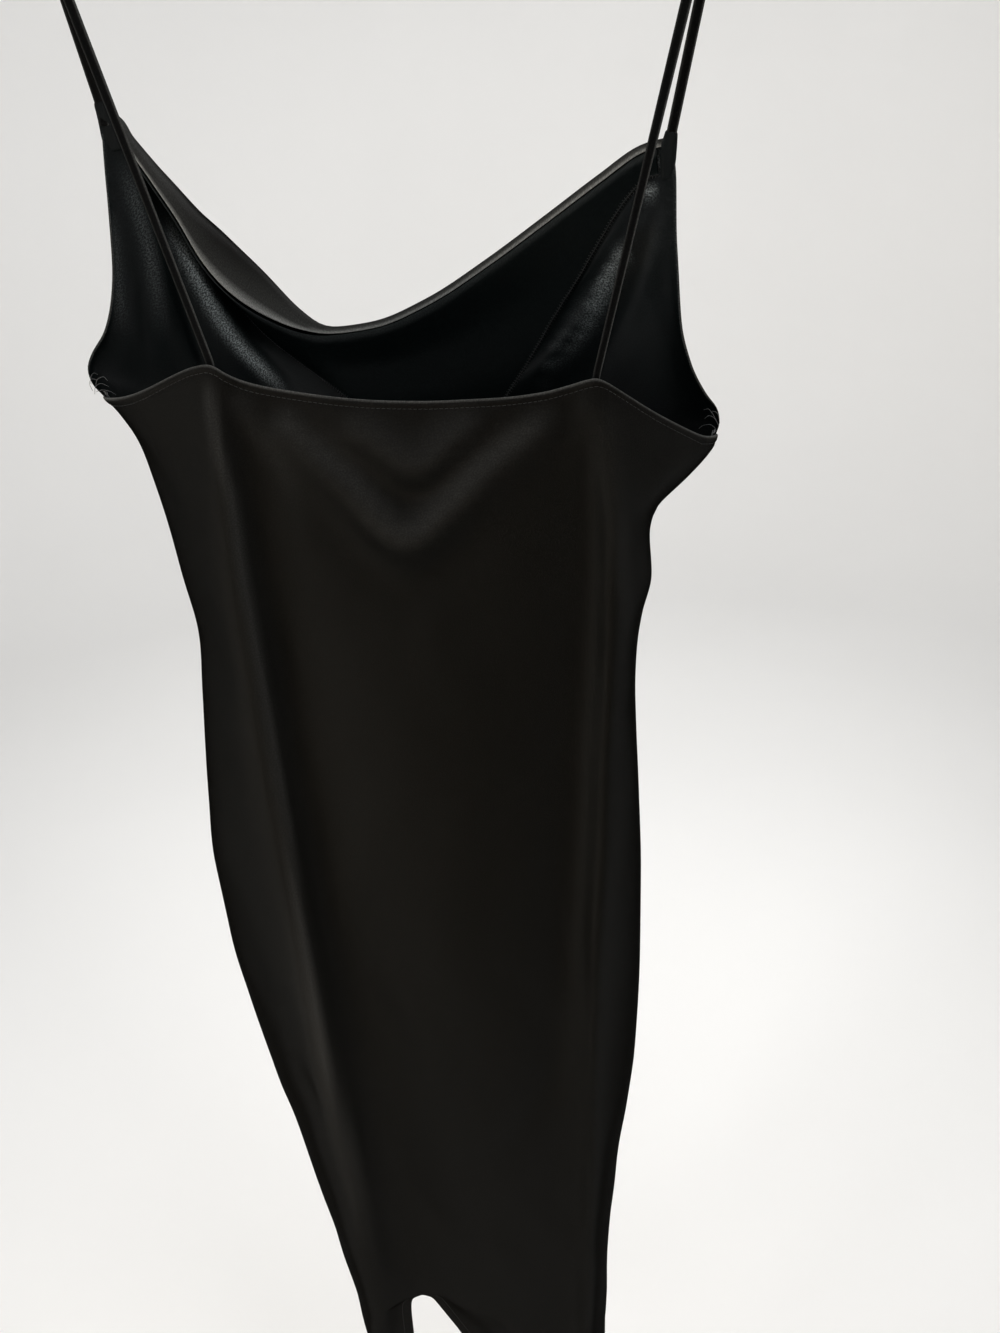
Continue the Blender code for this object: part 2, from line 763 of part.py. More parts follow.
def material(name, colour, roughness, metallic):
    """A plain Principled material."""
    made = bpy.data.materials.new(name)
    made.use_nodes = True
    shader = made.node_tree.nodes["Principled BSDF"]
    shader.inputs["Base Color"].default_value = (*colour, 1.0)
    shader.inputs["Roughness"].default_value = roughness
    shader.inputs["Metallic"].default_value = metallic
    return made


def sheet_mesh(name, grid, right_edge=None):
    """An open mesh of a grid of points. With right_edge its low rows split at the vent."""
    columns = len(grid[0])
    points = [tuple(point) for row in grid for point in row]
    extra = {}
    for i, point in enumerate(right_edge or []):
        extra[i] = len(points)
        points.append(tuple(point))
    faces = []
    for r in range(len(grid) - 1):
        for c in range(columns - 1):
            corners = []
            for row, column in ((r, c), (r, c + 1), (r + 1, c + 1), (r + 1, c)):
                index = row * columns + column
                if row in extra and c >= VENT_COLUMN and column == VENT_COLUMN:
                    index = extra[row]
                corners.append(index)
            faces.append(corners)
    mesh = bpy.data.meshes.new(name)
    mesh.from_pydata(points, [], faces)
    mesh.update()
    return mesh


def cloth(name, grid, wall, slot, shares_of_wall=None, right_edge=None, flip=False):
    """A cloth piece: the open surface is its visible face and the wall goes behind."""
    mesh = sheet_mesh(name, grid, right_edge)
    if flip:
        mesh.flip_normals()
    piece = bpy.data.objects.new(name, mesh)
    bpy.context.scene.collection.objects.link(piece)
    solid = piece.modifiers.new("wall", "SOLIDIFY")
    solid.thickness = wall
    solid.offset = -1.0
    if shares_of_wall:
        group = piece.vertex_groups.new(name="wall")
        flat = [share for row in shares_of_wall for share in row]
        flat += [1.0] * (len(mesh.vertices) - len(flat))
        for i, share in enumerate(flat):
            group.add([i], share, "REPLACE")
        solid.vertex_group = "wall"
    finish(piece, slot)
    return piece


def finish(piece, slot):
    """Puts a piece with the others and gives it its material and smooth shading."""
    bpy.context.scene.collection.objects.unlink(piece)
    bpy.data.collections[OBJECT_NAME].objects.link(piece)
    piece.data.materials.append(slot)
    for face in piece.data.polygons:
        face.use_smooth = True


def strap(name, route, slot):
    """One strap with rounded edges."""
    grid = ribbon(route)
    piece = cloth(name, grid, STRAP_WALL, slot)
    piece.modifiers["wall"].offset = 0.0
    soft = piece.modifiers.new("soft edge", "BEVEL")
    soft.width = 0.0007
    soft.segments = 1
    soft.limit_method = "ANGLE"
    soft.angle_limit = math.radians(50)
    return piece


def rod(name, route, radius, rings, slot):
    """A round rod along a route, closed at both ends."""
    data = bpy.data.curves.new(name, "CURVE")
    data.dimensions = "3D"
    data.bevel_depth = radius
    data.bevel_resolution = rings
    data.use_fill_caps = True
    spline = data.splines.new("POLY")
    spline.points.add(len(route) - 1)
    for place, point in zip(spline.points, route):
        place.co = (*turned(point), 1.0)
    piece = bpy.data.objects.new(name, data)
    bpy.context.scene.collection.objects.link(piece)
    graph = bpy.context.evaluated_depsgraph_get()
    mesh = bpy.data.meshes.new_from_object(piece.evaluated_get(graph))
    bpy.data.objects.remove(piece)
    solid = bpy.data.objects.new(name, mesh)
    bpy.context.scene.collection.objects.link(solid)
    weld = solid.modifiers.new("weld", "WELD")
    weld.merge_threshold = 0.0001
    solid.data.materials.clear()
    finish(solid, slot)
    return solid


def bar_route():
    """Centre line of the hanger's bar before it leans."""
    half = (
        (0.000, -0.0640),
        (0.012, -0.0645),
        (0.030, -0.0675),
        (0.060, -0.0755),
        (0.100, -0.0885),
        (0.140, -0.1030),
        (0.160, -0.1115),
        (0.174, -0.1180),
        (0.182, -0.1225),
        (0.188, SEAT_Z),
        (0.222, SEAT_Z),
        (0.229, -0.1225),
        (0.235, -0.1180),
        (0.238, -0.1120),
    )
    right = [(x, 0.0, z) for x, z in half]
    left = [(-x, 0.0, z) for x, z in reversed(half[1:])]
    return left + right


def hook_route():
    """Centre line of the hook's wire before it leans."""
    centre_z = -HOOK_INNER
    radius = HOOK_INNER + HOOK_WIRE
    stem = -0.0640 + BAR_RADIUS + 0.0003
    route = [(0.0, 0.0, stem), (0.0, 0.0, -0.0510), (0.0006, 0.0, -0.0460)]
    turns = 22
    for k in range(turns + 1):
        angle = math.radians(-74 + (215 + 74) * k / turns)
        x = radius * math.cos(angle)
        z = centre_z + radius * math.sin(angle)
        route.append((x, 0.0, z))
    return route


def build():
    """Builds every piece."""
    for thing in list(bpy.data.objects):
        bpy.data.objects.remove(thing)
    group = bpy.data.collections.new(OBJECT_NAME)
    bpy.context.scene.collection.children.link(group)
    satin = material("satin_jersey", (0.012, 0.011, 0.010), 0.38, 0.0)
    lining = material("satin_facing", (0.011, 0.012, 0.012), 0.42, 0.0)
    rouleau = material("strap_satin", (0.010, 0.010, 0.011), 0.35, 0.0)
    plastic = material("hanger_plastic", (0.030, 0.030, 0.032), 0.45, 0.0)
    steel = material("hook_steel", (0.620, 0.620, 0.630), 0.22, 1.0)

    grid, walls = back_grid()
    right_edge = open_vent(grid)
    cloth("back_panel", grid, TURNED_WALL, satin, walls, right_edge)
    grid, walls = front_grid()
    cloth("front_panel", grid, TURNED_WALL, satin, walls)
    cloth("cowl_facing", facing_grid(), FACING_WALL, lining, flip=True)

    strap("strap_left", strap_route(*STRAP_LEFT), rouleau)
    strap("strap_right", strap_route(*STRAP_RIGHT), rouleau)

    rod("hanger_bar", bar_route(), BAR_RADIUS, 2, plastic)
    rod("hanger_hook", hook_route(), HOOK_WIRE, 2, steel)


build()
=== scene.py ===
"""Looks of a black satin-jersey slip dress that hangs by its two straps from a plain hanger.

Metres, Z up. The dress's back faces -Y and its cowl front +Y. +X is the right of someone
who looks at the back. Each cloth piece is a thin shell on the form of its CAD solid.
"""

import logging
import math
from dataclasses import dataclass, field
from enum import Enum

import bmesh
import bpy
import numpy as np
from mathutils import Matrix, Vector
from mathutils.bvhtree import BVHTree


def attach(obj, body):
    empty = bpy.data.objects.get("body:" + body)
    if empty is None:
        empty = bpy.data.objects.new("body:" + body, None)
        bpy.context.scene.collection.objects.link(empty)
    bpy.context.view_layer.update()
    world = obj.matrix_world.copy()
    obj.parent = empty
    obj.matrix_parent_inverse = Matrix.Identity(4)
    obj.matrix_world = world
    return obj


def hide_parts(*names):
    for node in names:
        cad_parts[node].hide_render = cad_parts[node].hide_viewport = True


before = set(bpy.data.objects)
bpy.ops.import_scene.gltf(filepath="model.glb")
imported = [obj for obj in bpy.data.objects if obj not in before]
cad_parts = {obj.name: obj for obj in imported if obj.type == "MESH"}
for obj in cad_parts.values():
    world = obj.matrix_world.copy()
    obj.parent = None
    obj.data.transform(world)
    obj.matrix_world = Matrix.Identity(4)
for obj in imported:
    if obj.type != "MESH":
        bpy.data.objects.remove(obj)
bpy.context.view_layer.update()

Rows = tuple[tuple[float, ...], ...]
Colour = Spot = tuple[float, float, float]
Piece = bpy.types.Object
Material = bpy.types.Material
Socket = bpy.types.NodeSocket
BODY = "root"
log = logging.getLogger("slip_maxi_dress")


# Form of the dress: the same named lines as the solids


LEFT_SEAM = (
    (-0.4, -0.224, 0.0),
    (-0.425, -0.22, 0.0),
    (-0.44, -0.2085, -0.001),
    (-0.46, -0.198, -0.002),
    (-0.485, -0.1925, -0.004),
    (-0.52, -0.187, -0.006),
    (-0.56, -0.183, -0.008),
    (-0.6, -0.179, -0.008),
    (-0.65, -0.185, -0.006),
    (-0.7, -0.192, -0.003),
    (-0.75, -0.1985, 0.0),
    (-0.82, -0.2055, 0.004),
    (-0.9, -0.2055, 0.008),
    (-0.97, -0.2, 0.01),
    (-1.05, -0.1905, 0.012),
    (-1.2, -0.1665, 0.016),
    (-1.35, -0.1475, 0.019),
    (-1.5, -0.13, 0.02),
)
LEFT_RIDGE = (
    (-0.4, -0.128, -0.05),
    (-0.457, -0.133, -0.053),
    (-0.52, -0.134, -0.052),
    (-0.6, -0.136, -0.047),
    (-0.73, -0.135, -0.051),
    (-0.86, -0.131, -0.056),
    (-1.02, -0.13, -0.06),
    (-1.1, -0.1285, -0.061),
    (-1.2, -0.122, -0.062),
    (-1.35, -0.112, -0.063),
    (-1.5, -0.103, -0.063),
)
VENT_LINE = (
    (-0.4, -0.1, -0.047),
    (-0.444, -0.108, -0.045),
    (-0.54, -0.112, -0.042),
    (-0.61, -0.109, -0.037),
    (-0.7, -0.103, -0.04),
    (-0.816, -0.098, -0.043),
    (-0.946, -0.085, -0.045),
    (-1.03, -0.077, -0.047),
    (-1.19, -0.067, -0.05),
    (-1.327, -0.064, -0.052),
    (-1.5, -0.06, -0.054),
)
BACK_MIDDLE = (
    (-0.4, 0.0, -0.046),
    (-0.48, 0.0, -0.047),
    (-0.6, 0.002, -0.043),
    (-0.75, 0.003, -0.05),
    (-0.9, 0.006, -0.056),
    (-1.2, 0.013, -0.064),
    (-1.5, 0.015, -0.068),
)
RIGHT_VALLEY = (
    (-0.4, 0.098, -0.047),
    (-0.48, 0.106, -0.047),
    (-0.54, 0.113, -0.045),
    (-0.625, 0.112, -0.04),
    (-0.7, 0.107, -0.041),
    (-0.83, 0.102, -0.046),
    (-0.98, 0.0985, -0.052),
    (-1.105, 0.0945, -0.056),
    (-1.35, 0.088, -0.062),
    (-1.5, 0.085, -0.064),
)
RIGHT_RIDGE = (
    (-0.4, 0.118, -0.05),
    (-0.45, 0.126, -0.051),
    (-0.518, 0.131, -0.05),
    (-0.59, 0.13, -0.045),
    (-0.66, 0.128, -0.046),
    (-0.785, 0.1235, -0.052),
    (-0.87, 0.118, -0.056),
    (-1.147, 0.111, -0.062),
    (-1.35, 0.1065, -0.065),
    (-1.5, 0.104, -0.066),
)
RIGHT_SEAM = (
    (-0.44, 0.2135, 0.0),
    (-0.468, 0.2115, 0.0),
    (-0.482, 0.2085, -0.001),
    (-0.496, 0.1975, -0.003),
    (-0.51, 0.1825, -0.004),
    (-0.524, 0.1665, -0.006),
    (-0.542, 0.1615, -0.007),
    (-0.575, 0.1635, -0.008),
    (-0.605, 0.1565, -0.008),
    (-0.63, 0.153, -0.007),
    (-0.66, 0.152, -0.006),
    (-0.7, 0.1535, -0.004),
    (-0.76, 0.157, 0.0),
    (-0.85, 0.161, 0.004),
    (-0.95, 0.162, 0.008),
    (-1.05, 0.1595, 0.011),
    (-1.13, 0.1525, 0.013),
    (-1.2, 0.143, 0.015),
    (-1.26, 0.1385, 0.017),
    (-1.35, 0.133, 0.019),
    (-1.5, 0.129, 0.02),
)
FRONT_Z = (-0.4, -0.48, -0.54, -0.61, -0.7, -0.8, -0.9, -1.05, -1.2, -1.35, -1.5)


def at_heights(x: tuple[float, ...], y: tuple[float, ...]) -> Rows:
    """Rows of (z, x, y) for a line down the front."""
    return tuple(zip(FRONT_Z, x, y))


FRONT_RIGHT_SIDE = at_heights(
    (0.17, 0.158, 0.133, 0.121, 0.121, 0.124, 0.127, 0.126, 0.118, 0.111, 0.107),
    (0.046, 0.043, 0.034, 0.026, 0.034, 0.052, 0.062, 0.07, 0.076, 0.081, 0.083),
)
FRONT_RIGHT = at_heights(
    (0.095, 0.088, 0.075, 0.068, 0.068, 0.07, 0.072, 0.072, 0.068, 0.064, 0.062),
    (0.07, 0.067, 0.05, 0.036, 0.046, 0.072, 0.086, 0.094, 0.1, 0.105, 0.107),
)
FRONT_MIDDLE = at_heights(
    (-0.005, -0.005, -0.006, -0.008, -0.01, -0.012, -0.012, -0.01, -0.008, -0.006, -0.004),
    (0.078, 0.074, 0.056, 0.038, 0.044, 0.07, 0.084, 0.09, 0.096, 0.102, 0.105),
)
FRONT_LEFT = at_heights(
    (-0.11, -0.1, -0.09, -0.085, -0.088, -0.094, -0.095, -0.089, -0.08, -0.072, -0.065),
    (0.074, 0.068, 0.051, 0.037, 0.048, 0.075, 0.088, 0.097, 0.103, 0.107, 0.109),
)
FRONT_LEFT_SIDE = at_heights(
    (-0.178, -0.16, -0.148, -0.14, -0.145, -0.153, -0.154, -0.144, -0.13, -0.119, -0.108),
    (0.048, 0.043, 0.033, 0.026, 0.034, 0.052, 0.063, 0.071, 0.077, 0.082, 0.084),
)
ROUND = (
    LEFT_SEAM,
    LEFT_RIDGE,
    VENT_LINE,
    BACK_MIDDLE,
    RIGHT_VALLEY,
    RIGHT_RIDGE,
    RIGHT_SEAM,
    FRONT_RIGHT_SIDE,
    FRONT_RIGHT,
    FRONT_MIDDLE,
    FRONT_LEFT,
    FRONT_LEFT_SIDE,
)
FROM_SEAM = (0.0, 0.05, 0.2, 0.42, 0.66, 0.84)
TO_SEAM = (0.0, 0.16, 0.34, 0.58, 0.8, 0.95)
TO_POINT = (0.0, 0.16, 0.32, 0.45, 0.57, 0.68, 0.78, 0.87, 0.95)
BACK_EDGE = (
    (-0.22, -0.43),
    (-0.1976, -0.4271),
    (-0.1747, -0.4203),
    (-0.1563, -0.4122),
    (-0.1374, -0.4057),
    (-0.1281, -0.4046),
    (-0.1183, -0.4108),
    (-0.1074, -0.4171),
    (-0.0922, -0.4218),
    (-0.0541, -0.429),
    (-0.0183, -0.4335),
    (0.018, -0.4353),
    (0.0545, -0.435),
    (0.0817, -0.4335),
    (0.0999, -0.4298),
    (0.1185, -0.4253),
    (0.1276, -0.4299),
    (0.1425, -0.4402),
    (0.1626, -0.4538),
    (0.1806, -0.4644),
    (0.1968, -0.4736),
    (0.2115, -0.4763),
)
# Front neckline from the left point, as rows of (x, y, z, rise, out)
NECKLINE = (
    (-0.1994, 0.049, -0.255, 0.004, 0.005),
    (-0.1905, 0.051, -0.2625, 0.006, 0.0065),
    (-0.1842, 0.0532, -0.2781, 0.0115, 0.0095),
    (-0.174, 0.058, -0.2988, 0.015, 0.014),
    (-0.1631, 0.065, -0.3228, 0.022, 0.018),
    (-0.1526, 0.069, -0.349, 0.0324, 0.023),
    (-0.1394, 0.072, -0.3687, 0.0376, 0.026),
    (-0.1254, 0.073, -0.3811, 0.0347, 0.025),
    (-0.1107, 0.074, -0.3903, 0.0279, 0.023),
    (-0.0911, 0.075, -0.399, 0.0144, 0.016),
    (-0.0671, 0.076, -0.404, 0.0045, 0.005),
    (-0.0355, 0.077, -0.4016, 0.004, 0.004),
    (0.0074, 0.077, -0.387, 0.004, 0.004),
    (0.0524, 0.075, -0.3625, 0.004, 0.004),
    (0.098, 0.071, -0.334, 0.004, 0.004),
    (0.137, 0.062, -0.3088, 0.004, 0.0045),
    (0.164, 0.0545, -0.293, 0.0036, 0.0045),
    (0.182, 0.0485, -0.29, 0.004, 0.0045),
)
LEFT_ARMHOLE = (
    (-0.22, 0.0, -0.427),
    (-0.225, 0.004, -0.4175),
    (-0.2267, 0.008, -0.4109),
    (-0.2235, 0.012, -0.4023),
    (-0.2139, 0.019, -0.3884),
    (-0.207, 0.026, -0.3672),
    (-0.2044, 0.032, -0.3485),
    (-0.2027, 0.04, -0.315),
    (-0.2016, 0.046, -0.2876),
    (-0.1994, 0.053, -0.2532),
)
RIGHT_ARMHOLE = (
    (0.2115, 0.0, -0.474),
    (0.2107, 0.005, -0.4619),
    (0.2021, 0.01, -0.4492),
    (0.1929, 0.017, -0.4306),
    (0.1866, 0.026, -0.403),
    (0.1849, 0.034, -0.3681),
    (0.1838, 0.04, -0.3402),
    (0.1839, 0.046, -0.3122),
    (0.182, 0.053, -0.2882),
)
FACING_EDGE = (
    (-0.188, -0.278),
    (-0.152, -0.36),
    (-0.12, -0.406),
    (-0.065, -0.448),
    (-0.01, -0.486),
    (0.03, -0.49),
    (0.068, -0.448),
    (0.115, -0.38),
    (0.159, -0.316),
    (0.179, -0.303),
)
# Open edges of the vent below its top, as rows of (z, left x, right x)
VENT = (
    (-1.49, -0.0745, -0.001),
    (-1.46, -0.0755, -0.007),
    (-1.425, -0.0768, -0.016),
    (-1.39, -0.0772, -0.028),
    (-1.356, -0.077, -0.043),
    (-1.338, -0.0758, -0.051),
    (-1.3325, -0.0741, -0.0537),
    (-1.33, -0.0722, -0.0558),
    (-1.3283, -0.0695, -0.0585),
    (-1.327, -0.064, -0.064),
)
# V folds under the back neckline: (x, z, left slope, right slope, height, width)
SWAGS = (
    (-0.01, -0.525, 1.15, 0.78, 0.0055, 0.016),
    (0.002, -0.476, 0.8, 0.65, 0.004, 0.014),
)
# Swags of the cowl between the underarm row and the neckline: (share, height, width)
COWL_SWAGS = (
    (0.76, 0.006, 0.15),
    (0.5, -0.0025, 0.13),
    (0.24, 0.005, 0.15),
)
# Places on the bar where a strap's two strands leave it, then its two sewn ends
STRAP_LEFT = (-0.1975, -0.198, (-0.1966, 0.0486, -0.2512), (-0.1281, -0.045, -0.4046))
STRAP_RIGHT = (0.2155, 0.2085, (0.1797, 0.0486, -0.2852), (0.1185, -0.045, -0.4253))
HEM_Z = -1.49
VENT_TOP_Z = -1.327
VENT_COLUMN = 9
VENT_REACH = (5.0, 11.0)
NECK_STITCH = 0.0053
YOKE_DIP = 0.06
SWAG_HOLLOW = 0.0025
LEAST_LIFT = 0.0048
FACING_INSET = 0.0046
SEAT_Z = -0.1245
LEAN = math.radians(5.1)
DEEP = np.array([0.0, 1.0, 0.0])
BAR_RADIUS = 0.005
STRAP_SIDES = 20
# Rows of both panels at the hem, and of the back by the vent's top and under the neckline
HEM_ROWS = HEM_Z + np.array([0.0, 0.0012, 0.006, 0.012, 0.0172, 0.019, 0.0208, 0.0245])
HEM_STITCH = 0.019
HEM_SOFT = 0.0175
HEM_PUFF = 0.00025
HEM_GROOVE = 0.00035
HEM_GROOVE_WIDTH = 0.0012
HEM_STITCH_ROW = 5
ABOVE_HEM_Z = HEM_Z + 0.032
VENT_ROWS = (-1.345, -1.34, -1.336, -1.3325, -1.33, -1.3283)
WAIST_Z = -0.62
NECK_ROWS = (0.0145, 0.01, 0.0078, 0.0062, 0.0053, 0.0044, 0.0032, 0.002, 0.0009, 0.0)
NECK_STITCH_ROW = -6


def smooth(value: np.ndarray | float, low: float, high: float) -> np.ndarray:
    """A soft step: 0 below low, 1 above high."""
    t = np.clip((np.asarray(value, float) - low) / (high - low), 0.0, 1.0)
    return t * t * (3 - 2 * t)


def bell(off: np.ndarray | float, wide: np.ndarray | float) -> np.ndarray:
    """A bell curve: 1 where off is 0, and near 0 from twice the width on."""
    return np.exp(-((off / wide) ** 2))


def unit(ways: np.ndarray) -> np.ndarray:
    """Directions along the last axis, made one long."""
    return ways / np.linalg.norm(ways, axis=-1, keepdims=True)


def travelled(points: np.ndarray, axis: int) -> np.ndarray:
    """Distance to each point of a path or grid from its first one, along one axis."""
    steps = np.linalg.norm(np.diff(points, axis=axis), axis=-1)
    return np.insert(np.cumsum(steps, axis=axis), 0, 0.0, axis=axis)


class Line:
    """A smooth function through values at rising places, which never swings past them."""

    def __init__(self, places: list[float], values: list[float]) -> None:
        """Keeps the places and values, and works out the slope at each.

        Args:
            places: Where the values are, rising.
            values: The value at each place.
        """
        self.places = np.asarray(places, float)
        self.values = np.asarray(values, float)
        steps = np.diff(self.values) / np.diff(self.places)
        before, after = steps[:-1], steps[1:]
        same = before * after > 0
        total = np.where(same, before + after, 1.0)
        middle = np.where(same, 2 * before * after / total, 0.0)
        self.lean = np.concatenate([[steps[0]], middle, [steps[-1]]])

    def __call__(self, where: np.ndarray | float) -> np.ndarray:
        """The value at each place asked for.

        Args:
            where: The places; those past an end take the end's value.

        Returns:
            An array of the shape of where.
        """
        where = np.clip(where, self.places[0], self.places[-1])
        i = np.searchsorted(self.places, where) - 1
        i = np.clip(i, 0, len(self.places) - 2)
        span = self.places[i + 1] - self.places[i]
        s = (where - self.places[i]) / span
        low = (1 + 2 * s) * (1 - s) ** 2 * self.values[i]
        low = low + s * (1 - s) ** 2 * span * self.lean[i]
        high = s * s * (3 - 2 * s) * self.values[i + 1]
        return low + high + s * s * (s - 1) * span * self.lean[i + 1]


class Path:
    """Every column of a row list as a smooth function of 0 to 1 along it, by distance."""

    def __init__(self, rows: Rows | np.ndarray, dims: int = 3) -> None:
        """Measures the rows.

        Args:
            rows: One row for each place along the path.
            dims: How many of the first columns are the place in space.
        """
        rows = np.asarray(rows, float)
        gaps = np.linalg.norm(np.diff(rows[:, :dims], axis=0), axis=1)
        self.length = float(gaps.sum())
        t = np.concatenate([[0.0], np.cumsum(gaps)]) / self.length
        self.parts = [Line(t, rows[:, i]) for i in range(rows.shape[1])]

    def __call__(self, where: np.ndarray | float) -> np.ndarray:
        """The columns at each place, stacked along a new last axis."""
        return np.stack([part(where) for part in self.parts], axis=-1)


class BodyForm:
    """The hollow body of the hanging dress, from the lines down it in order round it."""

    def __init__(self, lines: tuple[Rows, ...] = ROUND) -> None:
        """Makes the smooth lines.

        Args:
            lines: Rows of (z, x, y) for each line.
        """
        self.guides: list[tuple[Line, Line]] = []
        for table in lines:
            z, x, y = zip(*sorted(table))
            self.guides.append((Line(z, x), Line(z, y)))

    def point(self, place: np.ndarray | float, z: np.ndarray | float) -> np.ndarray:
        """Points of the body; place 2.5 is half way between lines 2 and 3.

        Args:
            place: Places round the body.
            z: Heights, of a shape that goes with place.

        Returns:
            Points, with x, y and z along the last axis.
        """
        place, z = np.broadcast_arrays(np.asarray(place, float), np.asarray(z, float))
        spots = np.stack([np.stack([x(z), y(z)], -1) for x, y in self.guides])
        first = np.floor(place).astype(int)
        count = len(self.guides)
        a, b, c, d = (
            np.take_along_axis(spots, ((first + k) % count)[None, ..., None], 0)[0]
            for k in (-1, 0, 1, 2)
        )
        knots = [np.zeros(place.shape)]
        for p, q in ((a, b), (b, c), (c, d)):
            gap = np.maximum(np.linalg.norm(q - p, axis=-1), 1e-6)
            knots.append(knots[-1] + np.sqrt(gap))
        k0, k1, k2, k3 = (knot[..., None] for knot in knots)
        t = k1 + (place - first)[..., None] * (k2 - k1)

        def between(p: np.ndarray, q: np.ndarray, low: np.ndarray, high: np.ndarray) -> np.ndarray:
            """A point between p, at low, and q, at high."""
            return (p * (high - t) + q * (t - low)) / (high - low)

        ab, bc, cd = between(a, b, k0, k1), between(b, c, k1, k2), between(c, d, k2, k3)
        abc, bcd = between(ab, bc, k0, k2), between(bc, cd, k1, k3)
        return np.concatenate([between(abc, bcd, k1, k2), z[..., None]], axis=-1)


def spread(first: int, spans: tuple[tuple[float, ...], ...]) -> np.ndarray:
    """Places of the solid's own columns in a panel.

    Args:
        first: The number of the line that the panel starts at.
        spans: Where the columns lie between each line and the next.

    Returns:
        The places, rising.
    """
    found = [first + i + step for i, steps in enumerate(spans) for step in steps]
    return np.array(found + [float(first + len(spans))])


def even(count: int) -> tuple[float, ...]:
    """Even steps of one span."""
    return tuple(k / count for k in range(count))


def finer(places: np.ndarray, seam: float = 0.012) -> np.ndarray:
    """Places with one more between each two, and one close to each side seam.

    Args:
        places: The solid's columns.
        seam: How far from the seam, in places, the extra column lies.

    Returns:
        The finer places, rising.
    """
    middles = (places[1:] + places[:-1]) / 2
    extra = [places[0] + seam, places[-1] - seam]
    return np.sort(np.concatenate([places, middles, extra]))


def ladder(*spans: tuple[float, float, int]) -> np.ndarray:
    """Joins spans of even steps.

    Args:
        *spans: The start, end and number of steps of each span.

    Returns:
        The rising values, with the last end.
    """
    parts = [np.linspace(low, high, steps, endpoint=False) for low, high, steps in spans]
    return np.concatenate([*parts, [spans[-1][1]]])


BACK_PLACES = spread(0, (FROM_SEAM, even(3), even(7), even(7), even(3), TO_SEAM))
FRONT_PLACES = spread(6, (FROM_SEAM, even(4), even(5), even(5), even(4), TO_POINT))


# Folds that are laid on the form


@dataclass(frozen=True)
class Fold:
    """A soft ridge along a line of (x, z) places, or a trough where its height is below 0.

    Its right is the side of greater x on a line that runs down, and above one that runs
    to the right.
    """

    line: Rows
    height: float
    left: float
    right: float
    start: float = 0.25
    end: float = 0.25

    def at(self, x: np.ndarray, z: np.ndarray) -> np.ndarray:
        """How far the fold stands out at each place.

        Args:
            x: Across.
            z: Up.

        Returns:
            Heights in metres, of the shape of x.
        """
        route = Path(self.line, 2)(np.linspace(0.0, 1.0, 33))
        begin, step = route[:-1], np.diff(route, axis=0)
        off = np.stack([x, z], -1)[..., None, :] - begin
        t = np.clip((off * step).sum(-1) / (step**2).sum(-1), 0.0, 1.0)
        gap = np.linalg.norm(off - t[..., None] * step, axis=-1)
        best = gap.argmin(-1)[..., None]
        side = step[:, 0] * off[..., 1] - step[:, 1] * off[..., 0]
        side = np.take_along_axis(side, best, -1)[..., 0]
        near = np.take_along_axis(gap, best, -1)[..., 0]
        along = (best + np.take_along_axis(t, best, -1))[..., 0] / len(begin)
        wide = np.where(side > 0, self.right, self.left)
        fade = smooth(along, 0.0, self.start) * smooth(1 - along, 0.0, self.end)
        return self.height * fade * bell(near, wide)


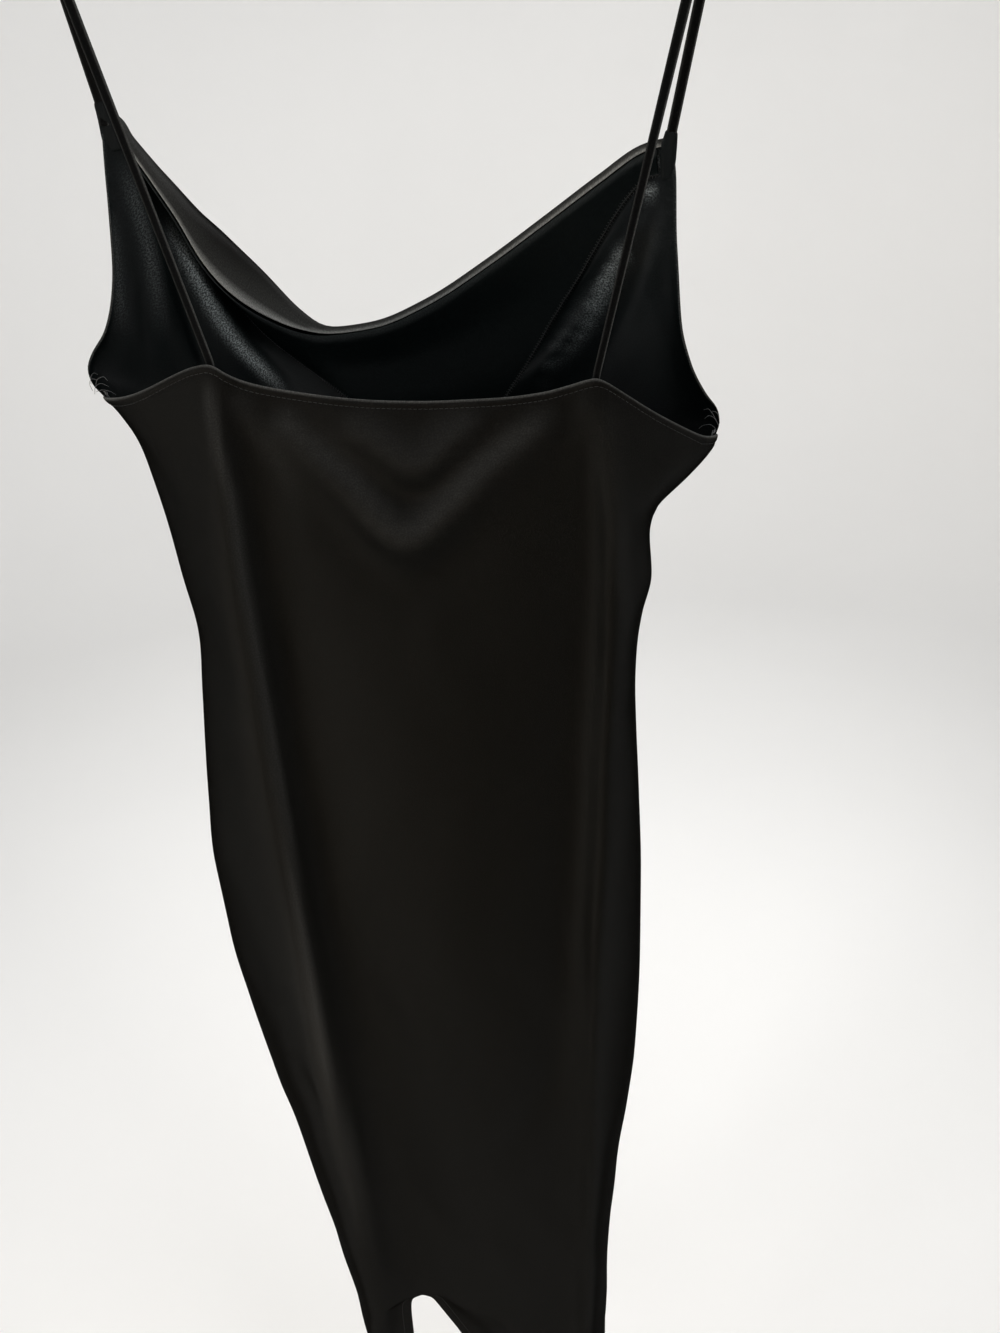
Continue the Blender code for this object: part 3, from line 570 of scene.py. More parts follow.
BACK_FOLDS = (
    # the narrow ridge below the left strap, and the broad one beside it
    Fold(((-0.127, -0.47), (-0.129, -0.593), (-0.13, -0.691), (-0.1285, -0.8), (-0.1265, -0.927),
         (-0.1234, -1.069), (-0.1164, -1.219), (-0.109, -1.36), (-0.102, -1.49)), 0.004, 0.02, 0.014, 0.16,
         0.12),
    Fold(((-0.1281, -0.405), (-0.13, -0.47), (-0.132, -0.593), (-0.133, -0.691), (-0.1315, -0.8),
         (-0.1292, -0.927), (-0.126, -1.069), (-0.119, -1.219)), 0.0011, 0.005, 0.005, 0.06, 0.3),
    Fold(((-0.1281, -0.405), (-0.1338, -0.466), (-0.143, -0.564), (-0.1525, -0.693), (-0.155, -0.824),
         (-0.1526, -0.975), (-0.1432, -1.153)), 0.0011, 0.012, 0.012, 0.1, 0.35),
    # the dark valley right of them
    Fold(((-0.106, -0.45), (-0.111, -0.58), (-0.106, -0.74), (-0.098, -0.9), (-0.09, -1.06),
         (-0.083, -1.22), (-0.079, -1.33)), -0.0068, 0.019, 0.033, 0.15, 0.12),
    # the crease that runs down to the hem at the left
    Fold(((-0.15, -0.955), (-0.1456, -1.005), (-0.1349, -1.047), (-0.1306, -1.11), (-0.121, -1.202),
         (-0.1084, -1.28), (-0.093, -1.345)), -0.0027, 0.0065, 0.005, 0.2, 0.3),
    Fold(((-0.183, -0.74), (-0.1794, -0.797), (-0.1684, -0.858), (-0.1634, -0.921), (-0.162, -1.01)),
         0.0012, 0.008, 0.007, 0.35, 0.4),
    Fold(((-0.17, -1.05), (-0.159, -1.18), (-0.144, -1.33), (-0.13, -1.48)), 0.0014, 0.008, 0.01, 0.35,
         0.15),
    # right valley and the two narrow ridges by it
    Fold(((0.1095, -0.45), (0.112, -0.52), (0.1104, -0.582), (0.106, -0.6635), (0.1008, -0.7507),
         (0.0951, -0.8453), (0.086, -0.9471), (0.0771, -1.06), (0.068, -1.1853)), -0.005, 0.025, 0.012,
         0.12, 0.25),
    Fold(((0.12, -0.43), (0.1266, -0.4651), (0.131, -0.52), (0.134, -0.5822), (0.137, -0.65),
         (0.1385, -0.74)), 0.0022, 0.011, 0.014, 0.08, 0.45),
    Fold(((0.117, -0.432), (0.1085, -0.454), (0.1, -0.49), (0.093, -0.54)), 0.0014, 0.006, 0.008, 0.1,
         0.55),
    Fold(((0.118, -0.96), (0.1129, -1.06), (0.108, -1.2), (0.1045, -1.36), (0.101, -1.49)), 0.0011, 0.015,
         0.012, 0.35, 0.15),
    # the V under the neckline
    Fold(((-0.096, -0.438), (-0.078, -0.46), (-0.0556, -0.483), (-0.0118, -0.531), (0.019, -0.509),
         (0.046, -0.484), (0.073, -0.465), (0.098, -0.446)), 0.0046, 0.012, 0.011, 0.07, 0.1),
    Fold(((-0.08, -0.444), (-0.05, -0.47), (-0.0086, -0.501), (0.03, -0.477), (0.064, -0.45)), -0.0032,
         0.0075, 0.007, 0.12, 0.15),
    Fold(((-0.053, -0.448), (-0.027, -0.464), (-0.0021, -0.481), (0.024, -0.464), (0.0484, -0.448)),
         0.0032, 0.007, 0.011, 0.12, 0.15),
    Fold(((-0.117, -0.423), (-0.104, -0.45), (-0.0924, -0.4751), (-0.0865, -0.5079), (-0.084, -0.54)),
         0.0016, 0.008, 0.01, 0.1, 0.55),
    # pulls at the underarms
    Fold(((-0.211, -0.434), (-0.188, -0.45), (-0.17, -0.476), (-0.156, -0.525)), 0.002, 0.007, 0.009, 0.15,
         0.55),
    Fold(((-0.2, -0.46), (-0.18, -0.485), (-0.166, -0.535)), -0.0012, 0.008, 0.008, 0.2, 0.5),
    Fold(((0.206, -0.483), (0.185, -0.485), (0.166, -0.498), (0.15, -0.525)), 0.0021, 0.008, 0.006, 0.15,
         0.5),
    Fold(((0.198, -0.498), (0.178, -0.503), (0.162, -0.518)), -0.0013, 0.006, 0.006, 0.15, 0.45),
    Fold(((0.157, -0.6), (0.142, -0.586), (0.125, -0.578)), 0.001, 0.007, 0.007, 0.15, 0.6),
    Fold(((0.152, -0.655), (0.138, -0.663), (0.12, -0.685)), 0.001, 0.007, 0.008, 0.15, 0.6),
    Fold(((-0.179, -0.605), (-0.162, -0.598), (-0.145, -0.599)), 0.0009, 0.008, 0.008, 0.15, 0.6),
)

# Painted highlights on the outside, along the ridge's crest and the V's upper faces
BACK_PAINTED_HIGHLIGHTS = (
    Fold(((-0.1281, -0.41), (-0.1295, -0.4455), (-0.1263, -0.4926), (-0.1276, -0.5579), (-0.1269, -0.6283),
         (-0.1263, -0.6945), (-0.1248, -0.7736), (-0.1246, -0.8695), (-0.1206, -0.9771), (-0.114, -1.0742),
         (-0.104, -1.1983)), 0.08, 0.0042, 0.003, 0.02, 0.3),
    Fold(((-0.1275, -0.76), (-0.127, -0.8695), (-0.124, -0.9771), (-0.118, -1.0742), (-0.108, -1.1983),
         (-0.099, -1.3)), 0.045, 0.011, 0.006, 0.35, 0.4),
    Fold(((-0.0936, -0.434), (-0.074, -0.456), (-0.0526, -0.4769), (-0.0118, -0.5232), (0.016, -0.503),
         (0.0431, -0.4778), (0.07, -0.459), (0.0952, -0.4403)), 0.062, 0.0075, 0.0085, 0.06, 0.12),
    Fold(((-0.0507, -0.4438), (-0.026, -0.46), (-0.0021, -0.476), (0.023, -0.459), (0.0464, -0.4435)),
         0.036, 0.0045, 0.015, 0.1, 0.15),
    Fold(((-0.117, -0.42), (-0.104, -0.45), (-0.0924, -0.4751), (-0.0865, -0.5079), (-0.084, -0.54)),
         0.022, 0.006, 0.009, 0.08, 0.6),
    Fold(((0.121, -0.435), (0.1266, -0.4651), (0.1322, -0.52), (0.1387, -0.5822), (0.145, -0.65)), 0.02,
         0.008, 0.008, 0.1, 0.5),
)
# Painted highlights on the front's outside, along its long folds and the cowl's swags
FRONT_PAINTED_HIGHLIGHTS = (
    Fold(((-0.042, -0.63), (-0.056, -0.78), (-0.06, -0.95), (-0.056, -1.2), (-0.05, -1.47)), 0.05, 0.009,
         0.006, 0.25, 0.2),
    Fold(((0.038, -0.61), (0.048, -0.78), (0.052, -0.95), (0.047, -1.2), (0.04, -1.47)), 0.045, 0.006,
         0.009, 0.25, 0.2),
    Fold(((-0.145, -0.86), (-0.136, -1.05), (-0.119, -1.28), (-0.108, -1.47)), 0.03, 0.005, 0.006, 0.35,
         0.2),
    Fold(((0.125, -0.86), (0.123, -1.05), (0.112, -1.28), (0.105, -1.47)), 0.03, 0.006, 0.005, 0.35, 0.2),
    Fold(((-0.168, -0.405), (-0.12, -0.465), (-0.05, -0.502), (0.02, -0.506), (0.09, -0.468),
         (0.15, -0.395)), 0.05, 0.009, 0.006, 0.2, 0.2),
    Fold(((-0.145, -0.49), (-0.09, -0.55), (-0.02, -0.585), (0.05, -0.576), (0.115, -0.515)), 0.035, 0.011,
         0.008, 0.3, 0.3),
)
# Painted highlights on the inside of the cowl, in strips that run down from the two points
FRONT_INSIDE_PAINTED_HIGHLIGHTS = (
    Fold(((-0.174, -0.315), (-0.1696, -0.3309), (-0.1619, -0.3513), (-0.1505, -0.3832), (-0.1363, -0.4089),
         (-0.1224, -0.4265), (-0.1038, -0.4508)), 0.9, 0.004, 0.003, 0.3, 0.25),
    Fold(((-0.1907, -0.277), (-0.187, -0.3077), (-0.1833, -0.3396), (-0.1811, -0.3787),
         (-0.1813, -0.4054)), 0.17, 0.005, 0.0036, 0.25, 0.5),
    Fold(((-0.2014, -0.3071), (-0.203, -0.3379), (-0.2042, -0.3697), (-0.2012, -0.3995)), 0.15, 0.006,
         0.0032, 0.3, 0.4),
    Fold(((0.15, -0.347), (0.141, -0.364), (0.131, -0.386), (0.122, -0.402), (0.111, -0.419),
         (0.094, -0.443)), 0.6, 0.0014, 0.006, 0.12, 0.75),
    Fold(((0.175, -0.29), (0.1706, -0.3084), (0.1652, -0.3237), (0.1612, -0.3393)), 0.8, 0.0013, 0.0015,
         0.2, 0.55),
    Fold(((0.143, -0.36), (0.13, -0.377), (0.1036, -0.4151), (0.089, -0.454)), 0.14, 0.0016, 0.002, 0.2,
         0.2),
    Fold(((0.1735, -0.3241), (0.1715, -0.3558), (0.169, -0.3887), (0.1661, -0.4228)), 0.03, 0.005, 0.005,
         0.3, 0.4),
)

FRONT_FOLDS = (
    # plumb folds that hang from the two points, seen from inside the neck
    Fold(((-0.178, -0.305), (-0.169, -0.333), (-0.156, -0.368), (-0.14, -0.401), (-0.123, -0.427),
         (-0.102, -0.46), (-0.08, -0.52)), -0.0056, 0.0085, 0.008, 0.22, 0.45),
    Fold(((-0.181, -0.278), (-0.1765, -0.3114), (-0.1725, -0.3342), (-0.169, -0.3611), (-0.165, -0.385),
         (-0.156, -0.43), (-0.145, -0.5)), 0.0054, 0.0055, 0.005, 0.2, 0.5),
    Fold(((-0.1907, -0.277), (-0.187, -0.3077), (-0.1833, -0.3396), (-0.1811, -0.3787), (-0.18, -0.43)),
         -0.003, 0.005, 0.006, 0.3, 0.45),
    Fold(((-0.195, -0.2951), (-0.1925, -0.3262), (-0.1905, -0.3581), (-0.1908, -0.3906), (-0.19, -0.44)),
         0.003, 0.0045, 0.005, 0.3, 0.45),
    Fold(((0.178, -0.302), (0.156, -0.343), (0.1316, -0.3791), (0.1076, -0.4121), (0.0811, -0.4501),
         (0.06, -0.5)), -0.0048, 0.008, 0.009, 0.22, 0.45),
    Fold(((0.18, -0.312), (0.168, -0.36), (0.15, -0.4), (0.129, -0.442), (0.108, -0.5)), 0.003, 0.007,
         0.009, 0.2, 0.5),
    Fold(((0.183, -0.33), (0.18, -0.38), (0.172, -0.44), (0.16, -0.5)), -0.0018, 0.009, 0.006, 0.3, 0.45),
    # the cowl's own swags
    Fold(((-0.178, -0.325), (-0.14, -0.396), (-0.09, -0.438), (-0.02, -0.456), (0.05, -0.433),
         (0.11, -0.383), (0.165, -0.32)), 0.0032, 0.011, 0.008, 0.25, 0.25),
    Fold(((-0.15, -0.415), (-0.1, -0.46), (-0.03, -0.481), (0.045, -0.462), (0.11, -0.41), (0.15, -0.36)),
         -0.0024, 0.009, 0.009, 0.3, 0.3),
    Fold(((-0.168, -0.405), (-0.12, -0.465), (-0.05, -0.502), (0.02, -0.506), (0.09, -0.468),
         (0.15, -0.395)), 0.003, 0.012, 0.009, 0.3, 0.3),
    Fold(((-0.13, -0.485), (-0.07, -0.533), (0.0, -0.548), (0.07, -0.522), (0.125, -0.46)), -0.002, 0.011,
         0.01, 0.35, 0.35),
    Fold(((-0.145, -0.49), (-0.09, -0.55), (-0.02, -0.585), (0.05, -0.576), (0.115, -0.515)), 0.002, 0.015,
         0.011, 0.4, 0.4),
    # long folds from the waist to the hem
    Fold(((-0.042, -0.63), (-0.056, -0.78), (-0.06, -0.95), (-0.056, -1.2), (-0.05, -1.49)), 0.0034, 0.02,
         0.016, 0.35, 0.08),
    Fold(((0.038, -0.61), (0.048, -0.78), (0.052, -0.95), (0.047, -1.2), (0.04, -1.49)), 0.003, 0.016,
         0.02, 0.35, 0.08),
    Fold(((-0.004, -0.7), (-0.006, -0.95), (-0.003, -1.22), (-0.001, -1.49)), -0.0026, 0.018, 0.017, 0.4,
         0.08),
    Fold(((-0.108, -0.72), (-0.105, -0.92), (-0.092, -1.2), (-0.083, -1.49)), -0.0024, 0.014, 0.012, 0.4,
         0.08),
    Fold(((0.093, -0.74), (0.096, -0.94), (0.088, -1.2), (0.081, -1.49)), -0.0022, 0.013, 0.014, 0.4,
         0.08),
    Fold(((-0.145, -0.86), (-0.136, -1.05), (-0.119, -1.28), (-0.108, -1.49)), 0.002, 0.009, 0.011, 0.4,
         0.08),
    Fold(((0.125, -0.86), (0.123, -1.05), (0.112, -1.28), (0.105, -1.49)), 0.0018, 0.011, 0.008, 0.4,
         0.08),
    # pulls at the underarms and waist
    Fold(((0.205, -0.475), (0.183, -0.485), (0.155, -0.515), (0.13, -0.56)), 0.0022, 0.009, 0.007, 0.2,
         0.5),
    Fold(((-0.213, -0.43), (-0.19, -0.456), (-0.165, -0.5), (-0.145, -0.56)), 0.002, 0.008, 0.009, 0.2,
         0.5),
    Fold(((0.146, -0.615), (0.11, -0.625), (0.07, -0.655)), 0.0012, 0.009, 0.009, 0.25, 0.55),
    Fold(((-0.17, -0.61), (-0.13, -0.62), (-0.09, -0.655)), 0.0012, 0.009, 0.009, 0.25, 0.55),
)


@dataclass(frozen=True)
class Drift:
    """The slow unevenness of hanging jersey: flutes that widen towards the hem."""

    height: float = 0.0003
    more: float = 0.0006
    across: tuple[float, ...] = (0.067, 0.11, 0.043)
    down: tuple[float, ...] = (0.31, 0.53, 0.22)
    seed: float = 0.7

    def at(self, x: np.ndarray, z: np.ndarray) -> np.ndarray:
        """How far the cloth stands out at each place.

        Args:
            x: Across.
            z: Up.

        Returns:
            Heights in metres, of the shape of x.
        """
        total = np.zeros(x.shape)
        for k, (wide, tall) in enumerate(zip(self.across, self.down)):
            turn = 2 * math.pi * (x / wide + 0.45 * np.sin(2 * math.pi * z / tall + k))
            total += np.sin(turn + self.seed * (k + 1)) / (k + 1)
        return total * (self.height + self.more * smooth(-z, 0.75, 1.49))


def normals(grid: np.ndarray) -> np.ndarray:
    """Outward directions of a grid whose columns run round the body and rows run up.

    Args:
        grid: Points, as rows by columns by 3.

    Returns:
        Unit directions of the same shape.
    """
    out = np.cross(np.gradient(grid, axis=1), np.gradient(grid, axis=0))
    return out / np.maximum(np.linalg.norm(out, axis=-1, keepdims=True), 1e-12)


def seam_gap(grid: np.ndarray) -> np.ndarray:
    """Distance of each point of a grid from the nearer side seam, along its row."""
    run = travelled(grid, 1)
    return np.minimum(run, run[:, -1:] - run)


# Shader and geometry trees


class Nodes:
    """Adds nodes to one shader or geometry tree."""

    def __init__(self, tree: bpy.types.NodeTree) -> None:
        """Keeps the tree."""
        self.tree = tree

    def node(
        self,
        kind: str,
        settings: dict[str, object] | None = None,
        inputs: dict[str | int, object] | None = None,
    ) -> bpy.types.Node:
        """Adds one node.

        Args:
            kind: The node's type.
            settings: Its settings, set first; "stops" are a ramp's (place, colour) pairs.
            inputs: A value, a socket or a Value for each socket, by identifier, name or
                number.

        Returns:
            The node.
        """
        made = self.tree.nodes.new(kind)
        for key, value in (settings or {}).items():
            if key != "stops":
                setattr(made, key, value)
                continue
            stops = made.color_ramp.elements
            for _ in range(len(value) - len(stops)):
                stops.new(0.5)
            for stop, (place, colour) in zip(stops, value):
                stop.position = place
                stop.color = (*colour, 1.0)
        self.fill(made, inputs or {})
        return made

    @staticmethod
    def find(sockets: bpy.types.bpy_prop_collection, key: str | int) -> Socket:
        """A socket by number, identifier or name.

        Args:
            sockets: A node's inputs or outputs.
            key: The number, identifier or name.

        Returns:
            The socket.
        """
        if isinstance(key, int):
            return sockets[key]
        for socket in sockets:
            if socket.identifier == key:
                return socket
        return sockets[key]

    def feed(self, socket: Socket, value: object) -> None:
        """Links a socket or sets its value.

        Args:
            socket: The input.
            value: A socket or Value to link, or what the input is set to.
        """
        if isinstance(value, Value):
            value = value.socket
        if isinstance(value, Socket):
            self.tree.links.new(value, socket)
        elif isinstance(value, tuple) and socket.type == "RGBA" and len(value) == 3:
            socket.default_value = (*value, 1.0)
        else:
            socket.default_value = value

    def fill(self, made: bpy.types.Node, inputs: dict[str | int, object]) -> None:
        """Feeds the inputs of a node, each by its identifier, name or number."""
        for key, value in inputs.items():
            self.feed(self.find(made.inputs, key), value)

    def first(self, kind: str, inputs: dict | None = None, **settings: object) -> Socket:
        """Adds a node and takes its first output."""
        return self.node(kind, settings, inputs).outputs[0]

    def value(
        self, kind: str, out: str | int, settings: dict | None = None, inputs: dict | None = None
    ) -> "Value":
        """Adds a node and takes one of its outputs for arithmetic.

        Args:
            kind: The node's type.
            out: The output, by number, identifier or name.
            settings: The node's settings.
            inputs: Its inputs.

        Returns:
            The output.
        """
        made = self.node(kind, settings, inputs)
        return Value(self, self.find(made.outputs, out))

    def blend(self, share: object, low: object, high: object) -> Socket:
        """Mixes two colours.

        Args:
            share: 0 for low, 1 for high.
            low: A colour or a socket.
            high: A colour or a socket.

        Returns:
            The mixed colour's socket.
        """
        made = self.node(
            "ShaderNodeMix",
            {"data_type": "RGBA"},
            {"Factor_Float": share, "A_Color": low, "B_Color": high},
        )
        return self.find(made.outputs, "Result_Color")

    def noise(self, place: Socket, scale: float, detail: float, rough: float = 0.5) -> "Value":
        """Adds a noise texture.

        Args:
            place: What it is laid by.
            scale: How many of its waves lie in a metre.
            detail: How many finer layers it has.
            rough: How strong the finer layers are.

        Returns:
            Its strength, from 0 to 1.
        """
        inputs = {"Vector": place, "Scale": scale, "Detail": detail, "Roughness": rough}
        return self.value("ShaderNodeTexNoise", "Fac", {}, inputs)

    def climb(
        self, value: "Value", low: float, high: float, top: float = 1.0, how: str = "LINEAR"
    ) -> "Value":
        """Climbs from 0 to top as a value climbs from low to high.

        Args:
            value: The value.
            low: Where the climb starts.
            high: Where it ends.
            top: How far it climbs.
            how: The Map Range node's interpolation.

        Returns:
            The result.
        """
        inputs = {"Value": value, "From Min": low, "From Max": high, "To Min": 0.0, "To Max": top}
        return self.value("ShaderNodeMapRange", "Result", {"interpolation_type": how}, inputs)

    def bump(self, strength: float, depth: float, height: object, **more: object) -> Socket:
        """Adds a Bump node.

        Args:
            strength: How strong it is.
            depth: How deep it is, in metres.
            height: Where it is high and low.
            **more: Its other inputs.

        Returns:
            The bent normal.
        """
        inputs = {"Strength": strength, "Distance": depth, "Height": height, **more}
        return self.first("ShaderNodeBump", inputs)

    def vector(self, x: object, y: object, z: object = 0.0) -> Socket:
        """Joins three numbers into a vector."""
        return self.first("ShaderNodeCombineXYZ", {"X": x, "Y": y, "Z": z})


class Value:
    """A socket whose arithmetic adds Math nodes."""

    def __init__(self, nodes: Nodes, socket: Socket) -> None:
        """Keeps the tree and the socket."""
        self.nodes = nodes
        self.socket = socket

    def math(self, operation: str, *values: object) -> "Value":
        """Adds one Math node.

        Args:
            operation: The node's operation.
            *values: Its inputs in order.

        Returns:
            The result.
        """
        settings = {"operation": operation}
        return self.nodes.value("ShaderNodeMath", 0, settings, dict(enumerate(values)))

    def __add__(self, other: object) -> "Value":
        """Adds."""
        return self.math("ADD", self, other)

    def __radd__(self, other: object) -> "Value":
        """Adds."""
        return self.math("ADD", other, self)

    def __sub__(self, other: object) -> "Value":
        """Takes other away."""
        return self.math("SUBTRACT", self, other)

    def __rsub__(self, other: object) -> "Value":
        """Takes this away from other."""
        return self.math("SUBTRACT", other, self)

    def __mul__(self, other: object) -> "Value":
        """Multiplies."""
        return self.math("MULTIPLY", self, other)

    def __rmul__(self, other: object) -> "Value":
        """Multiplies."""
        return self.math("MULTIPLY", other, self)

    def wave(self) -> "Value":
        """The sine, from 0 to 1."""
        return self.math("SINE", self) * 0.5 + 0.5


# Finishes


@dataclass(frozen=True)
class Finish:
    """What every finish has: its name and the shader's own steady values."""

    name: str
    steady: tuple[tuple[str, float | tuple[float, ...]], ...] = ()

    def start(self) -> tuple[Material, Nodes, bpy.types.Node]:
        """Makes the material and sets the shader's steady values.

        Returns:
            The material, its nodes and its shader.
        """
        made = bpy.data.materials.new(self.name)
        made.use_nodes = True
        nodes = Nodes(made.node_tree)
        shader = made.node_tree.nodes["Principled BSDF"]
        for key, value in self.steady:
            shader.inputs[key].default_value = value
        return made, nodes, shader

    @staticmethod
    def place(nodes: Nodes) -> Socket:
        """The place in the object, in metres."""
        return nodes.node("ShaderNodeTexCoord").outputs["Object"]


@dataclass(frozen=True)
class Jersey(Finish):
    """Satin-faced jersey: columns of knit, a sparkling grain, slow clouds, and painted highlights where
    the piece's mark says.
    """

    deep: Colour = (0.0007, 0.0007, 0.0005)
    pale: Colour = (0.0038, 0.0036, 0.0029)
    roughness: float = 0.46
    grain: float = 0.22
    relief: float = 0.6
    matte_edge: tuple[float, float] = (0.24, 0.76)
    # The attribute named by mark holds painted highlights: there the colour is lightened towards the
    # highlight colour below, speckled as much as the sparkle says.
    mark: str = "shine"
    painted_highlight_colour: Colour = (0.24, 0.242, 0.232)
    painted_sparkle: float = 0.45
    wale: float = 0.00062
    course: float = 0.00054

    def material(self) -> Material:
        """Makes the material, which reads the piece's UV map in metres.

        Returns:
            The material.
        """
        made, nodes, shader = self.start()
        uv = nodes.node("ShaderNodeUVMap", {"uv_map": "UVMap"}).outputs["UV"]
        place = self.place(nodes)
        parts = nodes.node("ShaderNodeSeparateXYZ", inputs={"Vector": uv}).outputs
        u, v = Value(nodes, parts["X"]), Value(nodes, parts["Y"])
        cloud = nodes.noise(place, 9.0, 3.0)
        grain = nodes.noise(uv, 820.0, 2.0, 0.7)
        wander = nodes.noise(uv, 90.0, 1.0)
        across = (u * (2 * math.pi / self.wale) + wander * 1.5).wave()
        chevron = across.math("ABSOLUTE", across - 0.5) * 2.2
        along = (v * (2 * math.pi / self.course) + chevron * math.pi).wave()
        knit = across * 0.6 + along * 0.4
        seam = nodes.value("ShaderNodeAttribute", "Fac", {"attribute_name": "pucker"})
        pull = nodes.noise(uv, 210.0, 1.0)
        # Painted highlight: the mark lightens the base colour towards the highlight colour, speckled by
        # the grain.
        mark = nodes.value("ShaderNodeAttribute", "Fac", {"attribute_name": self.mark})
        spark = nodes.climb(grain, 0.44, 0.62)
        ground = nodes.blend(cloud * 0.25 + spark * 0.75, self.deep, self.pale)
        shine = mark * (spark * self.painted_sparkle + (0.75 - self.painted_sparkle / 2))
        colour = nodes.blend(shine, ground, self.painted_highlight_colour)
        rough = self.roughness + (cloud - 0.5) * 0.1 + (grain - 0.5) * self.grain
        fine = nodes.bump(self.relief, 0.0004, grain * 0.75 + knit * 0.25)
        loose = nodes.bump(0.55, 0.0012, pull * seam, Normal=fine)
        nodes.fill(shader, {"Base Color": colour, "Roughness": rough, "Normal": loose})
        self.dull_edges(nodes, shader, colour, loose)
        return made

    def dull_edges(
        self,
        nodes: Nodes,
        shader: bpy.types.Node,
        colour: Socket,
        normal: Socket,
    ) -> None:
        """Lets the gloss die away where the knit is seen edge on, as its loops hide it.

        Args:
            nodes: The material's nodes.
            shader: The satin shader.
            colour: The cloth's colour.
            normal: The cloth's relief.
        """
        matte = nodes.first(
            "ShaderNodeBsdfPrincipled",
            {"Base Color": colour, "Roughness": 0.8, "Specular IOR Level": 0.0, "Normal": normal},
        )
        edge = nodes.value("ShaderNodeLayerWeight", "Facing", {}, {"Blend": 0.5})
        low, high = self.matte_edge
        share = nodes.climb(edge, low, high, 0.94, "SMOOTHSTEP")
        mixed = nodes.first("ShaderNodeMixShader", {0: share, 1: shader.outputs[0], 2: matte})
        nodes.fill(nodes.tree.nodes["Material Output"], {"Surface": mixed})


@dataclass(frozen=True)
class Thread(Finish):
    """Polyester sewing thread with its twist."""

    dark: Colour = (0.003, 0.003, 0.003)
    light: Colour = (0.008, 0.008, 0.008)
    twist: float = 0.0006

    def material(self) -> Material:
        """Makes the material.

        Returns:
            The material.
        """
        made, nodes, shader = self.start()
        place = self.place(nodes)
        parts = nodes.node("ShaderNodeSeparateXYZ", inputs={"Vector": place}).outputs
        run = Value(nodes, parts["X"]) + Value(nodes, parts["Z"]) * 0.8 + Value(nodes, parts["Y"])
        ply = (run * (2 * math.pi / self.twist)).wave()
        fuzz = nodes.noise(place, 1400.0, 2.0)
        bump = nodes.bump(0.5, 0.0002, ply + fuzz)
        colour = nodes.blend(ply * fuzz, self.dark, self.light)
        nodes.fill(shader, {"Base Color": colour, "Roughness": 0.45 + fuzz * 0.2, "Normal": bump})
        return made


@dataclass(frozen=True)
class Moulded(Finish):
    """Moulded plastic with a fine texture and the odd rubbed place."""

    dark: Colour = (0.01, 0.01, 0.011)
    rubbed: Colour = (0.025, 0.025, 0.026)

    def material(self) -> Material:
        """Makes the material.

        Returns:
            The material.
        """
        made, nodes, shader = self.start()
        place = self.place(nodes)
        spark = nodes.noise(place, 1500.0, 2.0)
        wear = nodes.noise(place, 38.0, 5.0)
        worn = nodes.climb(wear, 0.58, 0.8)
        colour = nodes.blend(worn, self.dark, self.rubbed)
        rough = 0.42 + spark * 0.12 - worn * 0.1
        bump = nodes.bump(0.35, 0.0002, spark)
        nodes.fill(shader, {"Base Color": colour, "Roughness": rough, "Normal": bump})
        return made


@dataclass(frozen=True)
class Steel(Finish):
    """Bright drawn wire with fine lines round it and light handling marks."""

    tone: Colour = (0.6, 0.6, 0.61)
    dull: Colour = (0.42, 0.42, 0.43)

    def material(self) -> Material:
        """Makes the material.

        Returns:
            The material.
        """
        made, nodes, shader = self.start()
        place = self.place(nodes)
        drawn = nodes.noise(place, 800.0, 3.0)
        marks = nodes.noise(place, 120.0, 4.0)
        colour = nodes.blend(marks, self.tone, self.dull)
        rough = 0.16 + drawn * 0.12 + marks * 0.1
        bump = nodes.bump(0.15, 0.0001, drawn)
        nodes.fill(shader, {"Base Color": colour, "Roughness": rough, "Normal": bump})
        return made


@dataclass(frozen=True)
class Paper(Finish):
    """The pale studio floor."""

    low: Colour = (0.76, 0.755, 0.745)
    high: Colour = (0.8, 0.795, 0.785)

    def material(self) -> Material:
        """Makes the material.

        Returns:
            The material.
        """
        made, nodes, shader = self.start()
        place = self.place(nodes)
        cloud = nodes.noise(place, 1.2, 3.0)
        colour = nodes.blend(cloud, self.low, self.high)
        nodes.fill(shader, {"Base Color": colour, "Roughness": 0.75 + cloud * 0.1})
        return made


SATIN = (("Specular IOR Level", 0.06),)
WARM_SATIN = (("Specular IOR Level", 0.05), ("Specular Tint", (1.0, 0.985, 0.94, 1.0)))
DULL = (("Specular IOR Level", 0.02),)


